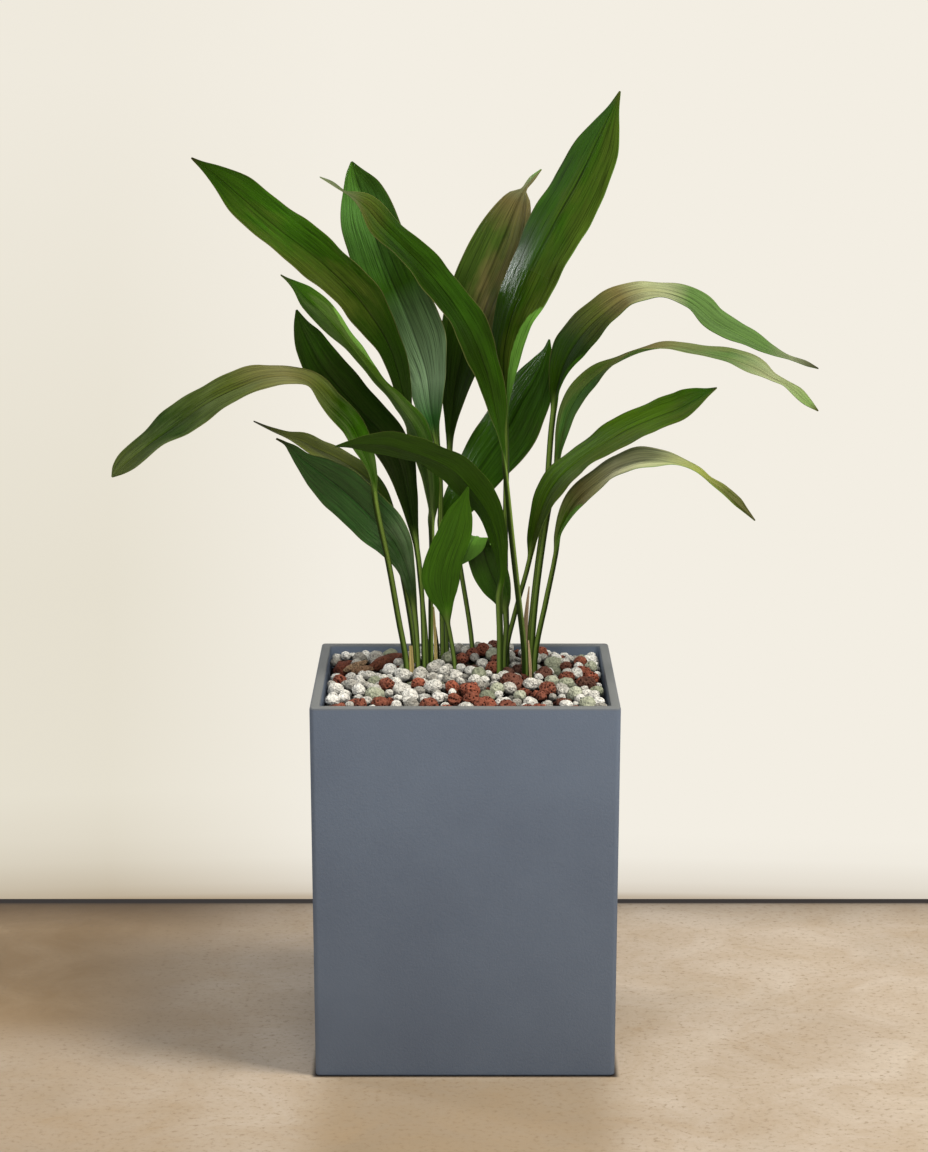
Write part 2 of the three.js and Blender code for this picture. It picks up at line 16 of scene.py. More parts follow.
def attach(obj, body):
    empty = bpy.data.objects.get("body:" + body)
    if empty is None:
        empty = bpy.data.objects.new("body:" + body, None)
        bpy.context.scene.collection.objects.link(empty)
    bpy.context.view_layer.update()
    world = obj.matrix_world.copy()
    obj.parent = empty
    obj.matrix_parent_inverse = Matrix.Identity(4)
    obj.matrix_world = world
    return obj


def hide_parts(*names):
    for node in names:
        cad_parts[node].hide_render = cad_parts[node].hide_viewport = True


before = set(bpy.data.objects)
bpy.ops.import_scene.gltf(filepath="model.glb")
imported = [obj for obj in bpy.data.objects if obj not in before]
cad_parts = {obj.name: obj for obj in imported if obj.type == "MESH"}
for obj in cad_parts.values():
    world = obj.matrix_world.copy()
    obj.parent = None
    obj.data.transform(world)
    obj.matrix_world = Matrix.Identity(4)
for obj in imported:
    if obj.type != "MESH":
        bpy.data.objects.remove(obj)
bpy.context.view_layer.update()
bpy.ops.object.select_all(action="DESELECT")
MM = 0.001
print("the CAD model holds", len(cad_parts), "nodes")

# %% [markdown]
# The camera. The photo was taken from straight in front, a little above the planter's rim, from about 3.3
# m away. A long lens keeps the planter's sides almost parallel. The lens is found from the frame's long
# side, 1152 pixels, and the focal length in those pixels, so it doesn't depend on the render's size.

# %% Set the camera
FRAME_LONG_SIDE = 1152
FOCAL_PIXELS = 3345
SENSOR_WIDTH = 36
CAMERA_PLACE = Vector((-1.1, -3283.1, 1102.2)) * MM
CAMERA_PITCH = math.radians(10.86)

bpy.ops.object.camera_add(location=CAMERA_PLACE, rotation=(math.pi / 2 - CAMERA_PITCH, 0, 0))
camera = bpy.context.object
camera.name = "photo_camera"
camera.data.sensor_width = SENSOR_WIDTH
camera.data.lens = SENSOR_WIDTH * FOCAL_PIXELS / FRAME_LONG_SIDE
bpy.context.scene.camera = camera
print("lens", round(camera.data.lens, 1), "mm")

# %% [markdown]
# Colours are written as they look on a screen, from 0 to 255, and turned into the linear values that
# shaders use. Small helpers add a node and set its sockets, so that each finish below stays short. They
# work on the nodes of a material and on those of the background alike.

# %% Helpers for colours and shader nodes
def linear(value):
    share = value / 255
    return share / 12.92 if share <= 0.04045 else ((share + 0.055) / 1.055) ** 2.4


def screen_colour(red, green, blue):
    return (linear(red), linear(green), linear(blue), 1.0)


def set_sockets(material, node, inputs):
    """Each socket in inputs gets its value, or joins another node's socket."""
    for socket, value in inputs.items():
        if isinstance(value, bpy.types.NodeSocket):
            material.node_tree.links.new(value, node.inputs[socket])
        else:
            node.inputs[socket].default_value = value


def add_node(material, kind, inputs=None, **settings):
    node = material.node_tree.nodes.new(kind)
    for key, value in settings.items():
        setattr(node, key, value)
    set_sockets(material, node, inputs or {})
    return node


def new_material(name):
    material = bpy.data.materials.new(name)
    material.use_nodes = True
    return material


def set_surface(material, colour, roughness, shine=0.5, normal=None):
    inputs = {"Base Color": colour, "Roughness": roughness, "Specular IOR Level": shine}
    if normal:
        inputs["Normal"] = normal
    set_sockets(material, material.node_tree.nodes["Principled BSDF"], inputs)


def colour_ramp(material, factor, stops):
    """A ramp from (place, colour) stops."""
    ramp = add_node(material, "ShaderNodeValToRGB", {"Fac": factor})
    elements = ramp.color_ramp.elements
    while len(elements) < len(stops):
        elements.new(0.5)
    for element, (place, colour) in zip(elements, stops):
        element.position = place
        element.color = colour
    return ramp.outputs["Color"]


def grey_ramp(material, factor, stops):
    """The same in greys, from (place, value) stops."""
    return colour_ramp(material, factor, [(place, (value, value, value, 1.0)) for place, value in stops])


def mix_colours(material, factor, first, second, blend="MIX"):
    inputs = {0: factor, 6: first, 7: second}
    return add_node(material, "ShaderNodeMix", inputs, data_type="RGBA", blend_type=blend).outputs[2]


def calculate(material, operation, *values):
    node = add_node(material, "ShaderNodeMath", dict(enumerate(values)), operation=operation)
    return node.outputs["Value"]


def product(material, result, *factors):
    for factor in factors:
        result = calculate(material, "MULTIPLY", result, factor)
    return result


def map_range(material, value, start, end, least=0.0, most=1.0, **settings):
    """Least where the value is at start, most where it is at end."""
    inputs = {"Value": value, "From Min": start, "From Max": end, "To Min": least, "To Max": most}
    return add_node(material, "ShaderNodeMapRange", inputs, **settings).outputs["Result"]


def object_place(material):
    return add_node(material, "ShaderNodeTexCoord").outputs["Object"]


def object_axis(material, axis):
    return add_node(material, "ShaderNodeSeparateXYZ", {0: object_place(material)}).outputs[axis]


def object_pattern(material, scale, kind="Noise", output="Fac", **inputs):
    """A noise or cell pattern in the piece's own coordinates, with scale in steps per metre."""
    inputs = {"Vector": object_place(material), "Scale": scale, **inputs}
    return add_node(material, "ShaderNodeTex" + kind, inputs).outputs[output]


def bump(material, height, strength, distance):
    inputs = {"Strength": strength, "Distance": distance, "Height": height}
    return add_node(material, "ShaderNodeBump", inputs).outputs["Normal"]


print("helpers ready")

# %% [markdown]
# The floor is a pale plane that ends a little behind the planter. It belongs to the stage and not to the
# part.

# %% Build the floor
FLOOR_HALF_WIDTH = 4.0
FLOOR_FRONT = -4.0
FLOOR_BACK = 0.468

bpy.ops.mesh.primitive_plane_add(size=1, location=(0, (FLOOR_FRONT + FLOOR_BACK) / 2, 0))
floor = bpy.context.object
floor.name = "floor"
floor.scale = (2 * FLOOR_HALF_WIDTH, FLOOR_BACK - FLOOR_FRONT, 1)
bpy.ops.object.transform_apply(location=True, rotation=True, scale=True)
print("floor", FLOOR_BACK - FLOOR_FRONT, "m deep")

# %% [markdown]
# The floor's finish is concrete. A broad noise gives soft clouds, a warped one stains and a fine one pits.
# Painted shade and shadows are laid over one another: painted shade before the planter for its dark
# reflection and shadow, painted shade toward the front, a painted shadow at the left, a painted contact
# shadow close round the planter's foot and painted shade in the far left corner. Last comes a painted shadow
# line at the back, where the floor meets the wall. Each pair below says where a place begins and where it
# is full, in metres, toward the side or from front to back.

# %% Finish the floor
FLOOR_TONES = [
    (0.3, screen_colour(174, 159, 139)),
    (0.5, screen_colour(192, 177, 159)),
    (0.7, screen_colour(202, 188, 170)),
]
BEFORE_PLANTER = {"near": (-0.12, -0.17), "side": (0.18, 0.11), "far": (-0.8, -0.4), "share": 0.62}
TOWARD_FRONT = {"near": (-0.16, -0.4), "side": (0.3, 0.0), "share": 0.32}
AT_LEFT = {"side": (-0.1, -0.44), "far_side": (-1.4, -0.8), "near": (-0.1, 0.06), "share_in_front": 0.3}
LINE_WAVER = 0.2
PLANTER_EDGE = (0.153, 0.147)
BACK_SHADE_LENGTH = 0.12
BACK_CORNER_SHADE_SHARE = 0.6
FLOOR_ROUGHNESS = 0.45
FLOOR_SHINE = 0.35
STAIN_STOPS = [(0.4, 0), (0.62, 0.5), (0.7, 0.9)]
PIT_STOPS = [(0.3, 0.06), (0.55, 0.14), (0.62, 0.4), (0.7, 0.8)]
BACK_SHADOW_LINE_STOPS = [(0, 0), (0.5, 0.16), (0.76, 0.34), (0.83, 0.55), (0.87, 1)]

floor_finish = new_material("pale_floor")
cloud = object_pattern(floor_finish, 3.0, Detail=6.0, Roughness=0.6)
speck = object_pattern(floor_finish, 160.0, Detail=3.0, Roughness=0.7)
mottle = object_pattern(floor_finish, 9.0, Detail=12.0, Roughness=0.75, Distortion=0.6)
floor_x = object_axis(floor_finish, "X")
floor_y = object_axis(floor_finish, "Y")
beside_middle = calculate(floor_finish, "ABSOLUTE", floor_x)
off_middle = calculate(floor_finish, "ABSOLUTE", floor_y)


def floor_share(place, limits, waver=0.0, least=0.0, most=1.0):
    """From least at the first limit to most at the second, along a line that wavers a little."""
    wavering = calculate(floor_finish, "MULTIPLY_ADD", cloud, waver, place)
    start, end = (limit + waver / 2 for limit in limits)
    return map_range(floor_finish, wavering, start, end, least, most, interpolation_type="SMOOTHSTEP")


# Painted shade before the planter, for its dark reflection and shadow on the floor.
painted_shade_before_planter = product(
    floor_finish, floor_share(floor_y, BEFORE_PLANTER["near"], most=BEFORE_PLANTER["share"]),
    floor_share(beside_middle, BEFORE_PLANTER["side"]), floor_share(floor_y, BEFORE_PLANTER["far"]),
)
# Painted shade, darker toward the front, fading out toward the right.
painted_shade_toward_front = product(
    floor_finish, floor_share(floor_y, TOWARD_FRONT["near"], most=TOWARD_FRONT["share"]),
    floor_share(floor_x, TOWARD_FRONT["side"]),
)
# Painted shadow of the planter and plant on the floor at the left.
painted_shadow_at_left = product(
    floor_finish, floor_share(floor_x, AT_LEFT["side"], LINE_WAVER),
    floor_share(floor_x, AT_LEFT["far_side"], LINE_WAVER),
    floor_share(floor_y, AT_LEFT["near"], LINE_WAVER / 2, least=AT_LEFT["share_in_front"]),
)
# Painted contact shadow close round the planter's foot.
painted_contact_shadow = product(
    floor_finish, floor_share(off_middle, PLANTER_EDGE), floor_share(beside_middle, PLANTER_EDGE),
)
back_reach = map_range(floor_finish, floor_y, FLOOR_BACK - BACK_SHADE_LENGTH, FLOOR_BACK)
FLOOR_LAYERS = [
    (painted_shade_before_planter, screen_colour(140, 120, 92)),
    (painted_shade_toward_front, screen_colour(140, 120, 92)),
    (painted_shadow_at_left, screen_colour(140, 113, 76)),
    (grey_ramp(floor_finish, mottle, STAIN_STOPS), screen_colour(164, 140, 108)),
    (grey_ramp(floor_finish, speck, PIT_STOPS), screen_colour(134, 112, 84)),
    (painted_contact_shadow, screen_colour(50, 40, 30)),
    # Painted shade in the far left corner.
    (product(floor_finish, back_reach, painted_shadow_at_left, BACK_CORNER_SHADE_SHARE), screen_colour(70, 50, 26)),
    # The painted shadow line where the floor meets the wall, with painted shade fading in front of it.
    (grey_ramp(floor_finish, back_reach, BACK_SHADOW_LINE_STOPS), screen_colour(26, 12, 0)),
]
floor_colour = colour_ramp(floor_finish, cloud, FLOOR_TONES)
for share, colour in FLOOR_LAYERS:
    floor_colour = mix_colours(floor_finish, share, floor_colour, colour)
set_surface(floor_finish, floor_colour, FLOOR_ROUGHNESS, FLOOR_SHINE)
floor.data.materials.append(floor_finish)
print("floor finished in", len(FLOOR_LAYERS), "layers")

# %% [markdown]
# The background stands for the wall. It is warm and pale, with painted shade: a little darker at the left,
# and brown toward its foot, more so at the left. Only the camera sees these colours. The light that it
# gives is set apart from them: weak from the front, strong from behind, and weaker where a glossy leaf
# mirrors it.

# %% Build the background
WALL_COLOUR = screen_colour(243, 238, 227)
WALL_LEFT_SHADE_COLOUR = screen_colour(231, 225, 209)
WALL_FOOT_SHADE_COLOUR = screen_colour(146, 116, 70)
WALL_SIDES = (-0.035, -0.105)
WALL_SLOPES = (-0.285, -0.235)
WALL_HEIGHTS = (-0.19, -0.04)
WALL_TOP_SHARE = 0.3
FOOT_HEIGHTS = (0.0, 0.04, 0.08, 0.11, 0.17, 0.31, 0.44, 0.7)
FOOT_RIGHT = (0.0, 0.6, 0.6, 0.34, 0.2, 0.04, 0.0, 0.0)
FOOT_LEFT = (0.0, 0.78, 0.78, 0.56, 0.42, 0.22, 0.12, 0.02)
FILL_COLOUR = (0.95, 0.97, 1.0, 1.0)
FILL_SLOPES, FILL_FRONT, FILL_BACK = (-0.3, 0.8), 0.16, 0.75
GLOSS_SLOPES, GLOSS_FRONT, GLOSS_BACK = (0.3, 0.8), 0.0, 0.35

world = bpy.data.worlds.new("studio")
world.use_nodes = True
direction = add_node(world, "ShaderNodeTexCoord").outputs["Generated"]
toward_right, toward_back, upward = add_node(world, "ShaderNodeSeparateXYZ", {0: direction}).outputs
# Painted shade on the wall: darker at the left and brown toward its foot.
left_shade_share = product(
    world, map_range(world, toward_right, *WALL_SIDES),
    map_range(world, upward, *WALL_HEIGHTS, 1.0, WALL_TOP_SHARE),
)
above_foot = map_range(world, upward, *WALL_SLOPES)
right_foot = grey_ramp(world, above_foot, list(zip(FOOT_HEIGHTS, FOOT_RIGHT)))
left_foot = grey_ramp(world, above_foot, list(zip(FOOT_HEIGHTS, FOOT_LEFT)))
foot_shade_share = mix_colours(world, left_shade_share, right_foot, left_foot)
wall_colour = mix_colours(world, left_shade_share, WALL_COLOUR, WALL_LEFT_SHADE_COLOUR)
wall_colour = mix_colours(world, foot_shade_share, wall_colour, WALL_FOOT_SHADE_COLOUR)
seen_wall = add_node(world, "ShaderNodeBackground", {"Color": wall_colour}).outputs["Background"]
fill = map_range(world, toward_back, *FILL_SLOPES, FILL_FRONT, FILL_BACK)
gloss = map_range(world, toward_back, *GLOSS_SLOPES, GLOSS_FRONT, GLOSS_BACK)
rays = add_node(world, "ShaderNodeLightPath").outputs
strength = add_node(world, "ShaderNodeMix", {0: rays["Is Glossy Ray"], 2: fill, 3: gloss}).outputs[0]
fill_light = world.node_tree.nodes["Background"]
set_sockets(world, fill_light, {"Color": FILL_COLOUR, "Strength": strength})
either = add_node(world, "ShaderNodeMixShader", {
    0: rays["Is Camera Ray"], 1: fill_light.outputs["Background"], 2: seen_wall,
}).outputs["Shader"]
set_sockets(world, world.node_tree.nodes["World Output"], {"Surface": either})
bpy.context.scene.world = world
bpy.context.scene.view_settings.view_transform = "Standard"
print("background with", len(world.node_tree.nodes), "nodes")

# %% [markdown]
# Three square lamps aim at the middle of the plant. The main one is warm and hangs high at the right. The
# small one behind the left gives the long highlights, and is the only one that the glossy leaves mirror.
# The broad one in front softens the shadows.

# %% Hang the lamps
LAMPS = [
    ("main_lamp", (1.5, -0.7, 2.8), 0.9, 100.0, (1.0, 0.95, 0.86), False),
    ("left_lamp", (-1.84, 0.92, 1.77), 0.4, 14.0, (0.97, 0.98, 1.0), True),
    ("front_lamp", (-0.2, -3.5, 2.2), 2.6, 90.0, (0.97, 0.96, 0.93), False),
]
AIM = Vector((0, 0, 0.55))
for lamp_name, place, size, power, colour, mirrored in LAMPS:
    bpy.ops.object.light_add(type="AREA", location=place)
    lamp = bpy.context.object
    lamp.name = lamp_name
    lamp.data.size = size
    lamp.data.energy = power
    lamp.data.color = colour
    lamp.rotation_euler = (AIM - Vector(place)).to_track_quat("-Z", "Y").to_euler()
    lamp.visible_glossy = mirrored
print(len(LAMPS), "lamps")

# %% [markdown]
# The planter is a square box of fibre clay, open at the top, a touch narrower at its foot. It is modelled
# as by hand: a cube at the planter's size, its foot drawn in, its top inset by the wall's thickness and
# pushed down to the floor inside. A bevel then gives every edge the small round that catches the light.

# %% Model the planter
PLANTER_SIDE = 0.300
PLANTER_HEIGHT = 0.372
PLANTER_TAPER = 0.98
WALL = 0.0096
WALL_DEPTH = 0.358
EDGE_ROUND = 0.0022
CORNER_ROUND = 0.005
EDGE_SEGMENTS = 3
CORNER_SEGMENTS = 6
SHARP_ANGLE = math.radians(50)
FLAT_ANGLE = math.radians(30)
UPRIGHT_LEAST = 0.1
NEARLY_LEVEL = 0.9


def start_piece(name):
    piece = bpy.context.object
    piece.name = name
    piece.data.name = name
    return piece


def pick_parts(piece, kind, wanted):
    """Leaves edit mode, selects the polygons or edges that pass the test, and goes back."""
    bpy.ops.mesh.select_all(action="DESELECT")
    bpy.ops.object.mode_set(mode="OBJECT")
    for part in getattr(piece.data, kind):
        part.select = wanted(part)
    bpy.ops.object.mode_set(mode="EDIT")


def draw_in(taper):
    """Scales what is selected toward the planter's middle line."""
    bpy.ops.transform.resize(value=(taper, taper, 1), center_override=(0, 0, 0))


def tapered_box(name, side, low, high, taper):
    """A cube at its size with its foot drawn in. It stays in edit mode, with its top selected."""
    bpy.ops.object.select_all(action="DESELECT")
    bpy.ops.mesh.primitive_cube_add(size=1, location=(0, 0, (low + high) / 2))
    box = start_piece(name)
    box.scale = (side, side, high - low)
    bpy.ops.object.transform_apply(location=True, rotation=True, scale=True)
    bpy.ops.object.mode_set(mode="EDIT")
    bpy.ops.mesh.select_mode(type="FACE")
    pick_parts(box, "polygons", lambda face: face.normal.z < -NEARLY_LEVEL)
    draw_in(taper)
    pick_parts(box, "polygons", lambda face: face.normal.z > NEARLY_LEVEL)
    return box


def is_upright(edge):
    first, second = (planter.data.vertices[number].co for number in edge.vertices)
    return abs(first.z - second.z) > UPRIGHT_LEAST


planter = tapered_box("planter_body", PLANTER_SIDE, 0, PLANTER_HEIGHT, PLANTER_TAPER)
bpy.ops.mesh.inset(thickness=WALL)
bpy.ops.mesh.extrude_region_move(TRANSFORM_OT_translate={"value": (0, 0, -WALL_DEPTH)})
draw_in(PLANTER_TAPER)
bpy.ops.mesh.select_mode(type="EDGE")
pick_parts(planter, "edges", is_upright)
bpy.ops.mesh.bevel(offset=CORNER_ROUND, segments=CORNER_SEGMENTS, profile=0.5)
bpy.ops.object.mode_set(mode="OBJECT")
edge_bevel = planter.modifiers.new("soft_edges", "BEVEL")
edge_bevel.width = EDGE_ROUND
edge_bevel.segments = EDGE_SEGMENTS
edge_bevel.limit_method = "ANGLE"
edge_bevel.angle_limit = SHARP_ANGLE
bpy.ops.object.modifier_apply(modifier=edge_bevel.name)
bpy.ops.object.shade_smooth_by_angle(angle=FLAT_ANGLE)
print("planter", len(planter.data.polygons), "faces")

# %% [markdown]
# The planter's finish is matt slate blue-grey with a fine grain, like painted fibre clay. Two noises, one
# broad and one fine, shift the colour a little. The same fine noise drives a shallow bump. In the last two
# millimetres below the rim the colour is a little lighter and warmer, a painted highlight where the rim
# catches the light.

# %% Finish the planter
SLATE_TONES = [(0.3, screen_colour(90, 101, 119)), (0.7, screen_colour(98, 110, 128))]
GRAIN_COLOUR = screen_colour(118, 126, 136)
GRAIN_SHARE = 0.3
GRAIN_DEPTH = 0.0006
GRAIN_STRENGTH = 0.5
SLATE_ROUGHNESS = 0.72
SLATE_SHINE = 0.35
RIM_HIGHLIGHT_COLOUR = screen_colour(115, 115, 110)
RIM_HIGHLIGHT_STOPS = [(0.993, 0.0), (0.998, 0.8)]

slate = new_material("slate_fibre_clay")
broad = object_pattern(slate, 7.0, Detail=4.0, Roughness=0.55)
fine = object_pattern(slate, 420.0, Detail=4.0, Roughness=0.65)
slate_colour = colour_ramp(slate, broad, SLATE_TONES)
slate_colour = mix_colours(slate, product(slate, fine, GRAIN_SHARE), slate_colour, GRAIN_COLOUR)
height_share = calculate(slate, "DIVIDE", object_axis(slate, "Z"), PLANTER_HEIGHT)
# A painted highlight: lighter and warmer just below the rim.
slate_colour = mix_colours(slate, grey_ramp(slate, height_share, RIM_HIGHLIGHT_STOPS), slate_colour, RIM_HIGHLIGHT_COLOUR)
grain = bump(slate, fine, GRAIN_STRENGTH, GRAIN_DEPTH)
set_surface(slate, slate_colour, SLATE_ROUGHNESS, SLATE_SHINE, grain)
planter.data.materials.append(slate)
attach(planter, "root")
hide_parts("planter")
print("planter finished")
